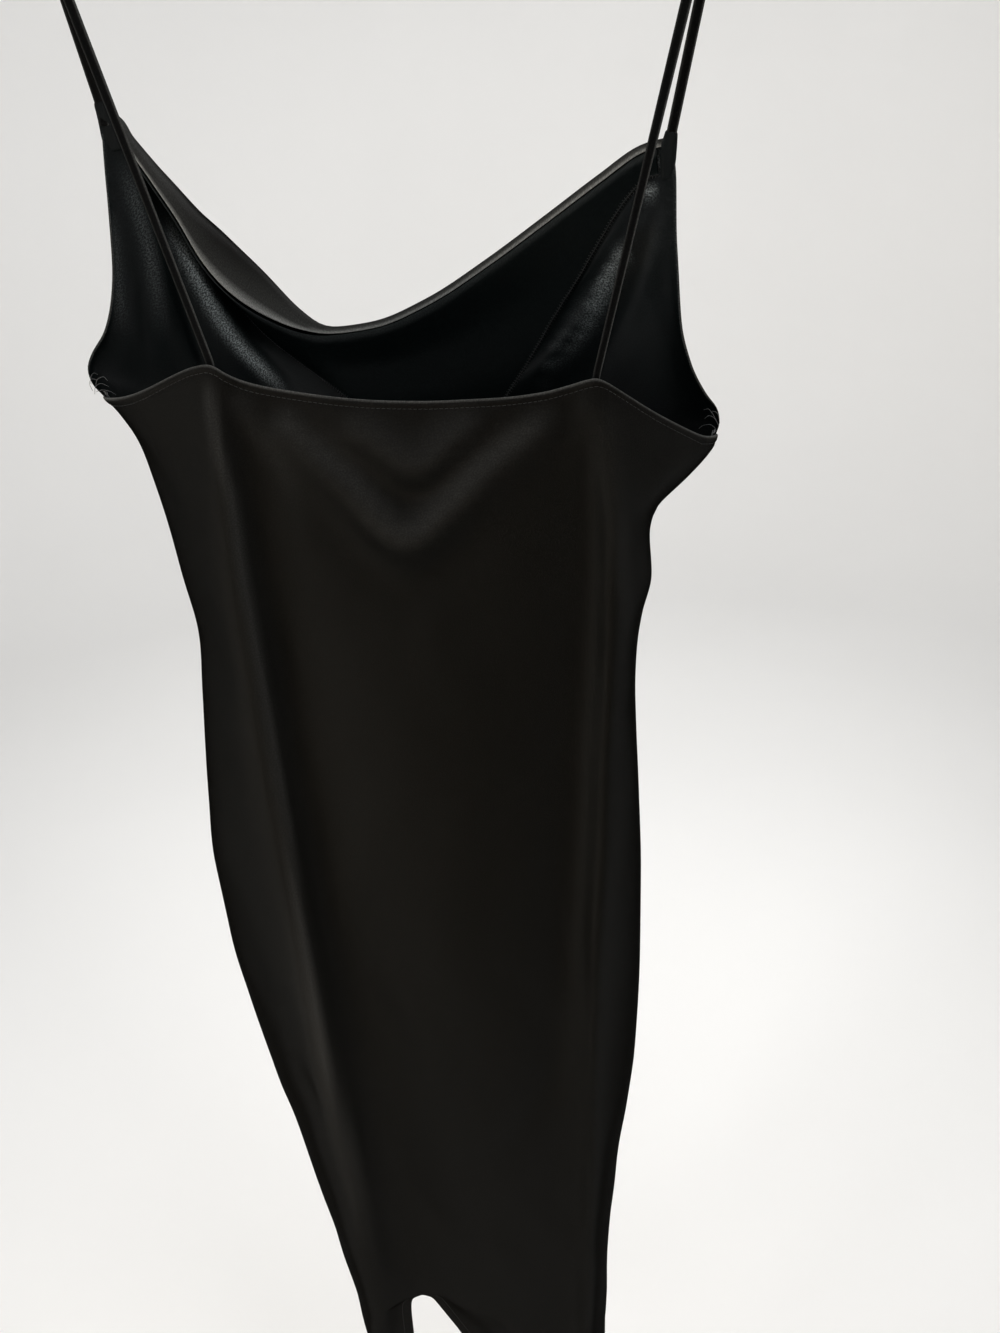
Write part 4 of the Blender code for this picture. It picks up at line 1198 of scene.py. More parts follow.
@dataclass
class Finishes:
    """The dress's materials, made once."""

    outer: Material = field(init=False)
    inner: Material = field(init=False)
    facing: Material = field(init=False)
    rouleau: Material = field(init=False)
    thread: Material = field(init=False)
    overlock: Material = field(init=False)
    plastic: Material = field(init=False)
    steel: Material = field(init=False)
    paper: Material = field(init=False)

    def __post_init__(self) -> None:
        """Makes each material."""
        self.outer = Jersey("satin_jersey", WARM_SATIN).material()
        # The inside reads its own mark of painted highlights, in a paler and cooler colour that sparkles
        # more; the facing's painted highlights are dimmer.
        self.inner = Jersey(
            "satin_inside",
            SATIN,
            deep=(0.0008, 0.0014, 0.0015),
            pale=(0.003, 0.0044, 0.0045),
            roughness=0.36,
            grain=0.24,
            relief=0.45,
            mark="gleam",
            painted_highlight_colour=(0.18, 0.199, 0.201),
            painted_sparkle=1.15,
        ).material()
        self.facing = Jersey(
            "satin_facing",
            DULL,
            deep=(0.0008, 0.0014, 0.0014),
            pale=(0.0026, 0.004, 0.004),
            roughness=0.46,
            painted_highlight_colour=(0.06, 0.066, 0.066),
        ).material()
        self.rouleau = Jersey(
            "strap_satin",
            DULL,
            deep=(0.0008, 0.0008, 0.0008),
            pale=(0.003, 0.003, 0.0028),
            roughness=0.36,
            grain=0.3,
        ).material()
        self.thread = Thread("sewing_thread", (("Specular IOR Level", 0.4),)).material()
        self.overlock = Thread(
            "overlock_thread",
            (("Specular IOR Level", 0.4),),
            dark=(0.08, 0.082, 0.085),
            light=(0.26, 0.264, 0.27),
        ).material()
        self.plastic = Moulded("hanger_plastic").material()
        self.steel = Steel("hook_steel", (("Metallic", 1.0),)).material()
        self.paper = Paper("studio_paper").material()


# Making meshes


@dataclass
class Shell:
    """One cloth piece: its grid of points and how thick it is."""

    name: str
    grid: np.ndarray
    walls: np.ndarray
    thickness: float
    pucker: np.ndarray
    extra: dict[int, np.ndarray] = field(default_factory=dict)
    split: int = -1
    flip: bool = False
    # Painted highlights on the outside and on the inside, from 0 to 1 at each point
    shine: np.ndarray | None = None
    gleam: np.ndarray | None = None

    def uv(self) -> np.ndarray:
        """Metres across and up at every point, the points past a split after the rest.

        Returns:
            An array of points by 2.
        """
        run = travelled(self.grid, 1)
        run -= run[:, run.shape[1] // 2][:, None]
        rise = travelled(self.grid, 0)
        flat = [np.stack([run, rise], -1).reshape(-1, 2)]
        for row, point in self.extra.items():
            back = np.linalg.norm(self.grid[row, self.split + 1] - point)
            flat.append([[run[row, self.split + 1] - back, rise[row, self.split]]])
        return np.concatenate(flat)

    def mesh(self) -> bpy.types.Mesh:
        """The open surface, split at its vent where it has one.

        Returns:
            The mesh.
        """
        rows, columns = self.grid.shape[:2]
        points = [tuple(p) for p in self.grid.reshape(-1, 3)]
        index = {}
        for row, point in self.extra.items():
            index[row] = len(points)
            points.append(tuple(point))
        faces = []
        for r in range(rows - 1):
            for c in range(columns - 1):
                corners = [r * columns + c, r * columns + c + 1]
                corners += [(r + 1) * columns + c + 1, (r + 1) * columns + c]
                if c == self.split and r in index:
                    corners[0] = index[r]
                    corners[3] = index.get(r + 1, corners[3])
                faces.append(corners[::-1] if self.flip else corners)
        mesh = bpy.data.meshes.new(self.name)
        mesh.from_pydata(points, [], faces)
        uv = self.uv()
        layer = mesh.uv_layers.new(name="UVMap")
        loops = np.empty(len(mesh.loops), int)
        mesh.loops.foreach_get("vertex_index", loops)
        layer.data.foreach_set("uv", uv[loops].astype(np.float32).ravel())
        # The pucker, and the painted highlights of the outside and the inside, as point attributes
        marks = {"pucker": self.pucker, "shine": self.shine, "gleam": self.gleam}
        for name, amount in marks.items():
            if amount is None:
                continue
            values = np.concatenate([amount.ravel(), np.zeros(len(self.extra))])
            mark = mesh.attributes.new(name, "FLOAT", "POINT")
            mark.data.foreach_set("value", values.astype(np.float32))
        mesh.update()
        return mesh

    def build(self, face: Material, back: Material) -> Piece:
        """Makes the closed piece, with its wall behind the surface.

        Args:
            face: The finish of the surface itself.
            back: The finish of the wall's other side.

        Returns:
            The piece.
        """
        piece = put(self.name, self.mesh())
        for slot in (face, back):
            piece.data.materials.append(slot)
        group = piece.vertex_groups.new(name="wall")
        shares = np.concatenate([self.walls.ravel(), np.ones(len(self.extra))])
        for i, share in enumerate(shares):
            group.add([i], float(share), "REPLACE")
        wall = piece.modifiers.new("wall", "SOLIDIFY")
        wall.thickness = self.thickness
        wall.offset = -1.0
        wall.vertex_group = "wall"
        wall.material_offset = 1
        soft = piece.modifiers.new("soft", "SUBSURF")
        soft.levels = soft.render_levels = 1
        settle(piece)
        return piece


def put(name: str, data: bpy.types.ID) -> Piece:
    """Makes an object of some data and links it to the scene."""
    made = bpy.data.objects.new(name, data)
    bpy.context.scene.collection.objects.link(made)
    return made


def settle(piece: Piece) -> None:
    """Applies a piece's modifiers and shades it smooth.

    Args:
        piece: The piece, in the scene.
    """
    graph = bpy.context.evaluated_depsgraph_get()
    mesh = bpy.data.meshes.new_from_object(
        piece.evaluated_get(graph), preserve_all_data_layers=True, depsgraph=graph
    )
    piece.modifiers.clear()
    piece.vertex_groups.clear()
    old = piece.data
    piece.data = mesh
    mesh.name = piece.name
    if isinstance(old, bpy.types.Mesh):
        bpy.data.meshes.remove(old)
    mesh.polygons.foreach_set("use_smooth", [True] * len(mesh.polygons))
    mesh.update()


def surface(piece: Piece) -> BVHTree:
    """A search tree of a finished piece's faces."""
    mesh = piece.data
    return BVHTree.FromPolygons([v.co for v in mesh.vertices], [p.vertices for p in mesh.polygons])


def tube(
    name: str,
    route: np.ndarray,
    profile: np.ndarray,
    across: np.ndarray,
    scale: np.ndarray | None = None,
    shine: np.ndarray | None = None,
) -> Piece:
    """Sweeps a closed profile along a route and closes both ends.

    Args:
        name: The piece's name.
        route: Points along it.
        profile: Points of (across, off) in metres, anticlockwise seen from the start.
        across: The direction that the profile's first number runs in, for each point or
            for all.
        scale: How large the profile is at each point, as one number or as two, across and
            off.
        shine: How much painted highlight the cloth has at each point of the profile.

    Returns:
        The piece, with UVs in metres.
    """
    count, ring = len(route), len(profile)
    way = unit(np.gradient(route, axis=0))
    side = np.broadcast_to(across, route.shape)
    side = unit(side - way * (side * way).sum(1, keepdims=True))
    off = np.cross(way, side)
    size = np.ones(count) if scale is None else np.asarray(scale, float)
    size = size if size.ndim == 2 else np.stack([size, size], -1)
    drawn = profile[None] * size[:, None]
    rings = route[:, None] + side[:, None] * drawn[..., :1] + off[:, None] * drawn[..., 1:]
    faces = []
    for i in range(count - 1):
        for k in range(ring):
            j = (k + 1) % ring
            faces.append([i * ring + k, i * ring + j, (i + 1) * ring + j, (i + 1) * ring + k])
    faces.append(list(range(ring))[::-1])
    faces.append([(count - 1) * ring + k for k in range(ring)])
    mesh = bpy.data.meshes.new(name)
    mesh.from_pydata([tuple(p) for p in rings.reshape(-1, 3)], [], faces)
    along = travelled(route, 0)
    girth = travelled(np.vstack([profile, profile[:1]]), 0)
    uv = []
    for i in range(count - 1):
        for k in range(ring):
            uv += [(girth[k], along[i]), (girth[k + 1], along[i])]
            uv += [(girth[k + 1], along[i + 1]), (girth[k], along[i + 1])]
    uv += [tuple(p) for p in profile[::-1]] + [tuple(p) for p in profile]
    layer = mesh.uv_layers.new(name="UVMap")
    layer.data.foreach_set("uv", np.array(uv, np.float32).ravel())
    # Painted highlight at each point of the profile, for the finish to read
    if shine is not None:
        mark = mesh.attributes.new("shine", "FLOAT", "POINT")
        mark.data.foreach_set("value", np.tile(shine, count).astype(np.float32))
    mesh.update()
    piece = put(name, mesh)
    tidy = bmesh.new()
    tidy.from_mesh(mesh)
    bmesh.ops.recalc_face_normals(tidy, faces=tidy.faces)
    tidy.to_mesh(mesh)
    tidy.free()
    return piece


def finished(piece: Piece, finish: Material, soft: bool = False) -> Piece:
    """Gives a swept piece its finish and applies what rounds it.

    Args:
        piece: The piece, in the scene.
        finish: Its finish.
        soft: Whether it is rounded once more.

    Returns:
        The piece.
    """
    piece.data.materials.append(finish)
    if soft:
        rounder = piece.modifiers.new("soft", "SUBSURF")
        rounder.levels = rounder.render_levels = 1
    settle(piece)
    return piece


def circle(radius: float, sides: int) -> np.ndarray:
    """Points of a round profile."""
    turn = np.arange(sides) * 2 * math.pi / sides
    return radius * np.stack([np.cos(turn), np.sin(turn)], -1)


def squared(wave: np.ndarray, power: float) -> np.ndarray:
    """A sine or cosine with fuller shoulders, the more so the smaller the power."""
    return np.sign(wave) * np.abs(wave) ** power


def upright(points: np.ndarray) -> np.ndarray:
    """Points of the upright hanger where they are once the hanger leans."""
    x, y, z = np.moveaxis(np.asarray(points, float), -1, 0)
    lean_x = x * math.cos(LEAN) + z * math.sin(LEAN)
    lean_z = -x * math.sin(LEAN) + z * math.cos(LEAN)
    return np.stack([lean_x, y, lean_z], -1)


# Sewing


class Stitch(Enum):
    """Kinds of stitch."""

    RUN = "run"
    LOOP = "loop"


@dataclass
class StitchRow:
    """A row of stitches along a line that lies on the cloth."""

    name: str
    kind: Stitch = Stitch.RUN
    pitch: float = 0.0034
    length: float = 0.0029
    thread: float = 0.00042
    width: float = 0.0032
    seed: int = 3

    def tree(self) -> bpy.types.NodeTree:
        """The geometry tree, whose named inputs are the stitch's sizes.

        Returns:
            The tree.
        """
        name = f"{self.kind.value}_stitches"
        if name in bpy.data.node_groups:
            return bpy.data.node_groups[name]
        tree = bpy.data.node_groups.new(name, "GeometryNodeTree")
        face = tree.interface
        face.new_socket("Line", in_out="INPUT", socket_type="NodeSocketGeometry")
        for label in ("Pitch", "Length", "Thread", "Width"):
            face.new_socket(label, in_out="INPUT", socket_type="NodeSocketFloat")
        face.new_socket("Seed", in_out="INPUT", socket_type="NodeSocketInt")
        face.new_socket("Finish", in_out="INPUT", socket_type="NodeSocketMaterial")
        face.new_socket("Stitches", in_out="OUTPUT", socket_type="NodeSocketGeometry")
        nodes = Nodes(tree)
        given = nodes.node("NodeGroupInput").outputs
        curve = nodes.first("GeometryNodeMeshToCurve", {"Mesh": given["Line"]})
        steps = nodes.first(
            "GeometryNodeResampleCurve", {"Curve": curve, "Length": given["Pitch"]}, mode="LENGTH"
        )
        thread = Value(nodes, given["Thread"])
        one = self.run if self.kind is Stitch.RUN else self.loop
        shape = one(nodes, given, thread)
        placed = nodes.first(
            "GeometryNodeInstanceOnPoints",
            {"Points": steps, "Instance": shape, "Rotation": self.turn(nodes, given)},
        )
        real = nodes.first("GeometryNodeRealizeInstances", {"Geometry": placed})
        round_off = nodes.first("GeometryNodeSetShadeSmooth", {"Geometry": real})
        dressed = nodes.first(
            "GeometryNodeSetMaterial", {"Geometry": round_off, "Material": given["Finish"]}
        )
        nodes.node("NodeGroupOutput", {}, {"Stitches": dressed})
        return tree

    @staticmethod
    def turn(nodes: Nodes, given: bpy.types.bpy_prop_collection) -> Socket:
        """How each stitch is turned: along the line and flat on the cloth, a little unevenly.

        Args:
            nodes: The tree's nodes.
            given: The tree's inputs.

        Returns:
            The rotation.
        """
        up = nodes.first("GeometryNodeInputNamedAttribute", {"Name": "up"}, data_type="FLOAT_VECTOR")
        tangent = nodes.first("GeometryNodeInputTangent")
        turn = nodes.first(
            "FunctionNodeAxesToRotation",
            {"Primary Axis": tangent, "Secondary Axis": up},
            primary_axis="X",
            secondary_axis="Z",
        )
        wobble = nodes.first(
            "FunctionNodeRandomValue",
            {"Min": (-0.04, -0.03, -0.09), "Max": (0.04, 0.03, 0.09), "Seed": given["Seed"]},
            data_type="FLOAT_VECTOR",
        )
        angle = nodes.first("FunctionNodeEulerToRotation", {0: wobble})
        return nodes.first(
            "FunctionNodeRotateRotation",
            {"Rotation": turn, "Rotate By": angle},
            rotation_space="LOCAL",
        )

    @staticmethod
    def run(nodes: Nodes, given: bpy.types.bpy_prop_collection, thread: Value) -> Socket:
        """One straight stitch, a long bead of thread.

        Args:
            nodes: The tree's nodes.
            given: The tree's inputs.
            thread: How thick the thread is.

        Returns:
            The stitch's mesh.
        """
        ball = nodes.first("GeometryNodeMeshUVSphere", {"Segments": 6, "Rings": 5, "Radius": 0.5})
        laid_over = {"Geometry": ball, "Rotation": (0.0, math.pi / 2, 0.0)}
        bead = nodes.first("GeometryNodeTransform", laid_over)
        size = nodes.vector(given["Length"], thread, thread * 0.8)
        return nodes.first("GeometryNodeTransform", {"Geometry": bead, "Scale": size})

    @staticmethod
    def loop(nodes: Nodes, given: bpy.types.bpy_prop_collection, thread: Value) -> Socket:
        """One overlock stitch, a slanting loop of thread.

        Args:
            nodes: The tree's nodes.
            given: The tree's inputs.
            thread: How thick the thread is.

        Returns:
            The stitch's mesh.
        """
        half = Value(nodes, given["Width"]) * 0.5
        bend = {
            "Resolution": 7,
            "Start": nodes.vector(given["Pitch"], half * -1.0),
            "Start Handle": nodes.vector(given["Pitch"], half, thread * 1.5),
            "End Handle": nodes.vector(thread * -2.0, half * -1.4, thread),
            "End": nodes.vector(0.0, half, thread * 0.5),
        }
        loop = nodes.first("GeometryNodeCurvePrimitiveBezierSegment", bend)
        ring = nodes.first(
            "GeometryNodeCurvePrimitiveCircle", {"Resolution": 5, "Radius": thread * 0.5}
        )
        parts = {"Curve": loop, "Profile Curve": ring, "Fill Caps": True}
        return nodes.first("GeometryNodeCurveToMesh", parts)

    def build(self, lines: list[tuple[np.ndarray, np.ndarray]], finish: Material) -> Piece:
        """Sews along the lines.

        Args:
            lines: For each line its points and the cloth's outward direction at each.
            finish: The thread's finish.

        Returns:
            The stitches as one plain mesh.
        """
        mesh = bpy.data.meshes.new(self.name)
        points, ups, edges = [], [], []
        for line, up in lines:
            first = len(points)
            points += [tuple(p) for p in line]
            ups += [tuple(p) for p in up]
            edges += [(first + i, first + i + 1) for i in range(len(line) - 1)]
        mesh.from_pydata(points, edges, [])
        mark = mesh.attributes.new("up", "FLOAT_VECTOR", "POINT")
        mark.data.foreach_set("vector", np.array(ups, np.float32).ravel())
        piece = put(self.name, mesh)
        sew = piece.modifiers.new("sew", "NODES")
        sew.node_group = self.tree()
        given = {
            "Pitch": self.pitch,
            "Length": self.length,
            "Thread": self.thread,
            "Width": self.width,
            "Seed": self.seed,
            "Finish": finish,
        }
        for item in sew.node_group.interface.items_tree:
            if item.in_out == "INPUT" and item.name in given:
                sew[item.identifier] = given[item.name]
        settle(piece)
        if not piece.data.materials:
            piece.data.materials.append(finish)
        return piece


def laid(tree: BVHTree, line: np.ndarray, lift: float = 0.0001) -> tuple[np.ndarray, np.ndarray]:
    """Brings a line onto a finished piece's surface.

    Args:
        tree: The surface.
        line: Points near it.
        lift: How far off the surface the line is to lie.

    Returns:
        The points on it and the outward direction at each.
    """
    points, ups = [], []
    for point in line:
        spot, up, _, _ = tree.find_nearest(Vector(point))
        points.append(np.array(spot) + np.array(up) * lift)
        ups.append(np.array(up))
    return np.array(points), np.array(ups)


# Cloth panels


def lay_folds(grid: np.ndarray, folds: tuple[Fold, ...], drift: Drift, hold: np.ndarray) -> np.ndarray:
    """Moves a panel's points out by its folds.

    Args:
        grid: The points.
        folds: The folds.
        drift: The slow unevenness.
        hold: How much of the folds each point takes, from 0 to 1.

    Returns:
        The moved points.
    """
    x, z = grid[..., 0], grid[..., 2]
    amount = drift.at(x, z)
    for fold in folds:
        amount = amount + fold.at(x, z)
    return grid + normals(grid) * (amount * hold)[..., None]


def painted_highlight_bands(grid: np.ndarray, folds: tuple[Fold, ...]) -> np.ndarray:
    """How much painted highlight the cloth has along the crests of some folds.

    Args:
        grid: The points.
        folds: The painted strips, whose heights are shares of the full painted highlight.

    Returns:
        Shares from 0 to 1, as rows by columns.
    """
    return np.clip(sum(fold.at(grid[..., 0], grid[..., 2]) for fold in folds), 0.0, 1.0)


def seam_groove(gap: np.ndarray, deep: float = 0.0011, wide: float = 0.0028) -> np.ndarray:
    """How far the cloth dips where it turns in at a side seam."""
    return -deep * bell(gap, wide)


def hem_puff(lift: np.ndarray, puff: np.ndarray | float = 0.0) -> np.ndarray:
    """How far the cloth stands out at the turned hem and dips at its row of stitches.

    Args:
        lift: Height above the hem.
        puff: How far the cloth stands out without the hem.

    Returns:
        Heights in metres.
    """
    puff = puff + HEM_PUFF * (1 - smooth(lift, HEM_SOFT, HEM_STITCH))
    return puff - HEM_GROOVE * bell(lift - HEM_STITCH, HEM_GROOVE_WIDTH)


@dataclass
class BackPanel:
    """The back from underarm to hem, with its turned neckline and its open vent."""

    form: BodyForm
    finishes: Finishes
    single: float = 0.0011
    turned: float = 0.0021
    neck_turn: float = 0.0063
    hem_turn: float = 0.0195
    vent_turn: float = 0.011
    vent_stitch: float = 0.0095
    vent_give: float = 2.6
    # Painted highlight along the top edge: how bright it is, and how wide
    painted_edge_highlight: float = 0.42
    edge_width: float = 0.001
    grid: np.ndarray = field(init=False)
    shine: np.ndarray = field(init=False)

    def neckline(self, places: np.ndarray) -> np.ndarray:
        """Height of the top edge at each column.

        Args:
            places: The columns' places round the body.

        Returns:
            The heights.
        """
        edge = Line([row[0] for row in BACK_EDGE], [row[1] for row in BACK_EDGE])
        z = np.full(len(places), float(edge(0.0)))
        for _ in range(6):
            z = edge(self.form.point(places, z)[:, 0])
        return z

    def swag(self, x: np.ndarray, z: np.ndarray) -> np.ndarray:
        """How far the back stands out at the V folds under its neckline.

        Args:
            x: Across.
            z: Up.

        Returns:
            Heights in metres.
        """
        total = np.zeros(x.shape)
        for tip_x, tip_z, left, right, tall, wide in SWAGS:
            slope = np.where(x < tip_x, left, right)
            crest = tip_z + slope * (np.hypot(x - tip_x, 0.008) - 0.008)
            off = (z - crest) / np.hypot(1.0, slope)
            fade = np.clip(1 - (np.abs(x - tip_x) / 0.085) ** 2, 0.0, None)
            total += tall * fade * bell(off, wide)
            total -= SWAG_HOLLOW * fade * bell(off + 2 * wide, wide)
        return total

    def heights(self, top: np.ndarray) -> np.ndarray:
        """Height of every point.

        Args:
            top: Height of the top edge at each column.

        Returns:
            Heights as rows by columns.
        """
        low = [
            HEM_ROWS,
            ladder((ABOVE_HEM_Z, VENT_ROWS[0], 14))[:-1],
            VENT_ROWS,
            ladder((VENT_TOP_Z, WAIST_Z, 66)),
        ]
        rows = [np.full(len(top), z) for z in np.concatenate(low)]
        for share in ladder((0.0, 1.0, 22))[1:-1]:
            rows.append(WAIST_Z + (top - NECK_ROWS[0] - WAIST_Z) * share)
        rows += [top - depth for depth in NECK_ROWS]
        return np.array(rows)

    def shape(self) -> tuple[np.ndarray, np.ndarray, np.ndarray, dict[int, np.ndarray], int]:
        """Works out the panel's points.

        Returns:
            The points, the wall shares, the puckers, the right edge of the vent by row,
            and the column that splits there.
        """
        places = finer(BACK_PLACES)
        top = self.neckline(places)
        z = self.heights(top)
        grid = self.form.point(places[None, :], z)
        grid[..., 1] -= self.swag(grid[..., 0], z)
        gap = seam_gap(grid)
        depth = top[None, :] - z
        hold = smooth(gap, 0.004, 0.03) * (0.3 + 0.7 * smooth(depth, 0.0, 0.016))
        grid = lay_folds(grid, BACK_FOLDS, Drift(), hold)
        out = normals(grid)
        puff = 0.00035 * smooth(depth, 0.0, 0.0022) * (1 - smooth(depth, 0.0044, 0.0056))
        puff -= 0.0004 * bell(depth - NECK_STITCH, 0.001)
        lift = z - HEM_Z
        grid = grid + out * (hem_puff(lift, puff) + seam_groove(gap))[..., None]
        split = int(np.argmin(np.abs(places - 2.0)))
        columns = np.interp(places, BACK_PLACES, np.arange(len(BACK_PLACES)))
        extra, vent_gap = self.open_vent(grid, columns - VENT_COLUMN, split)
        single = self.single / self.turned
        walls = np.full(z.shape, single)
        walls[(depth < self.neck_turn) | (lift < self.hem_turn) | (vent_gap < self.vent_turn)] = 1.0
        walls[:, :2] = walls[:, -2:] = single
        pucker = bell(gap, 0.008) * 0.9
        pucker = np.maximum(pucker, 0.55 * bell(depth - NECK_STITCH, 0.004))
        pucker = np.maximum(pucker, 0.4 * bell(lift - HEM_STITCH, 0.006))
        pucker = np.maximum(pucker, 0.4 * bell(vent_gap - 0.01, 0.005))
        # Painted highlights: the strips on the ridge and the V, and a thin line along the top edge
        self.shine = np.maximum(painted_highlight_bands(grid, BACK_PAINTED_HIGHLIGHTS), self.painted_edge_highlight * bell(depth, self.edge_width))
        return grid, walls, pucker, extra, split

    def open_vent(
        self, grid: np.ndarray, off: np.ndarray, split: int
    ) -> tuple[dict[int, np.ndarray], np.ndarray]:
        """Draws the two sides of the back apart below the vent's top.

        Args:
            grid: The points, which are changed.
            off: How many of the solid's columns each column lies from the vent.
            split: The column at the vent.

        Returns:
            The right edge's point for each row, and each point's distance from the vent's
            edge.
        """
        z, left, right = zip(*VENT)
        left_x, right_x = Line(z, left), Line(z, right)
        extra = {}
        gap = np.full(grid.shape[:2], 1.0)
        for r in range(len(grid)):
            height = grid[r, split, 2]
            if height >= VENT_TOP_Z - 1e-4:
                continue
            middle = grid[r, split, 0]
            share = float(smooth(VENT_TOP_Z - height, 0.0, 0.05))
            reach = [self.vent_give + (far - self.vent_give) * share for far in VENT_REACH]
            give = (left_x(height) - middle) * np.clip(1 + off / reach[0], 0, 1)
            other = (right_x(height) - middle) * np.clip(1 - off / reach[1], 0, 1)
            grid[r, :, 0] += np.where(off < -1e-6, give, np.where(off > 1e-6, other, 0.0))
            y = grid[r, split, 1] - 0.001
            extra[r] = np.array([float(right_x(height)), y, height])
            grid[r, split] = (float(left_x(height)), y, height)
            before, after = grid[r, split, 0] - grid[r, :, 0], grid[r, :, 0] - extra[r][0]
            gap[r] = np.where(off <= 0, before, after)
        return extra, gap

    def build(self) -> list[Piece]:
        """Makes the panel and its stitches.

        Returns:
            The panel first, then what is sewn on it.
        """
        self.grid, walls, pucker, extra, split = self.shape()
        shell = Shell("back_shell", self.grid, walls, self.turned, pucker, extra, split, shine=self.shine)
        panel = shell.build(self.finishes.outer, self.finishes.inner)
        tree = surface(panel)
        lines = [laid(tree, self.grid[NECK_STITCH_ROW, 1:-1])]
        hem = self.grid[HEM_STITCH_ROW]
        lines.append(laid(tree, hem[1 : split - 1]))
        lines.append(laid(tree, hem[split + 4 : -1]))
        lines += [laid(tree, line) for line in self.vent_lines(extra, split)]
        stitches = StitchRow("back_stitches").build(lines, self.finishes.thread)
        return [panel, stitches]

    def vent_lines(self, extra: dict[int, np.ndarray], split: int) -> list[np.ndarray]:
        """The stitch lines beside the vent's two edges.

        Args:
            extra: The right edge's point for each row.
            split: The column at the vent.

        Returns:
            The left and the right line.
        """
        left, right = [], []
        for r in sorted(extra):
            if r <= HEM_STITCH_ROW:
                continue
            row = self.grid[r]
            x = row[split, 0] - self.vent_stitch
            left.append([x, np.interp(x, row[: split + 1, 0], row[: split + 1, 1]), row[split, 2]])
            side = np.vstack([extra[r], row[split + 1 :]])
            x = extra[r][0] + self.vent_stitch
            right.append([x, np.interp(x, side[:, 0], side[:, 1]), row[split, 2]])
        return [np.array(left), np.array(right)]


def underarm(share: np.ndarray) -> np.ndarray:
    """Height of the front's underarm row by its share of the way from right to left."""
    right, left = RIGHT_ARMHOLE[0][2], LEFT_ARMHOLE[0][2]
    return right + (left - right) * share - YOKE_DIP * np.sin(math.pi * share)


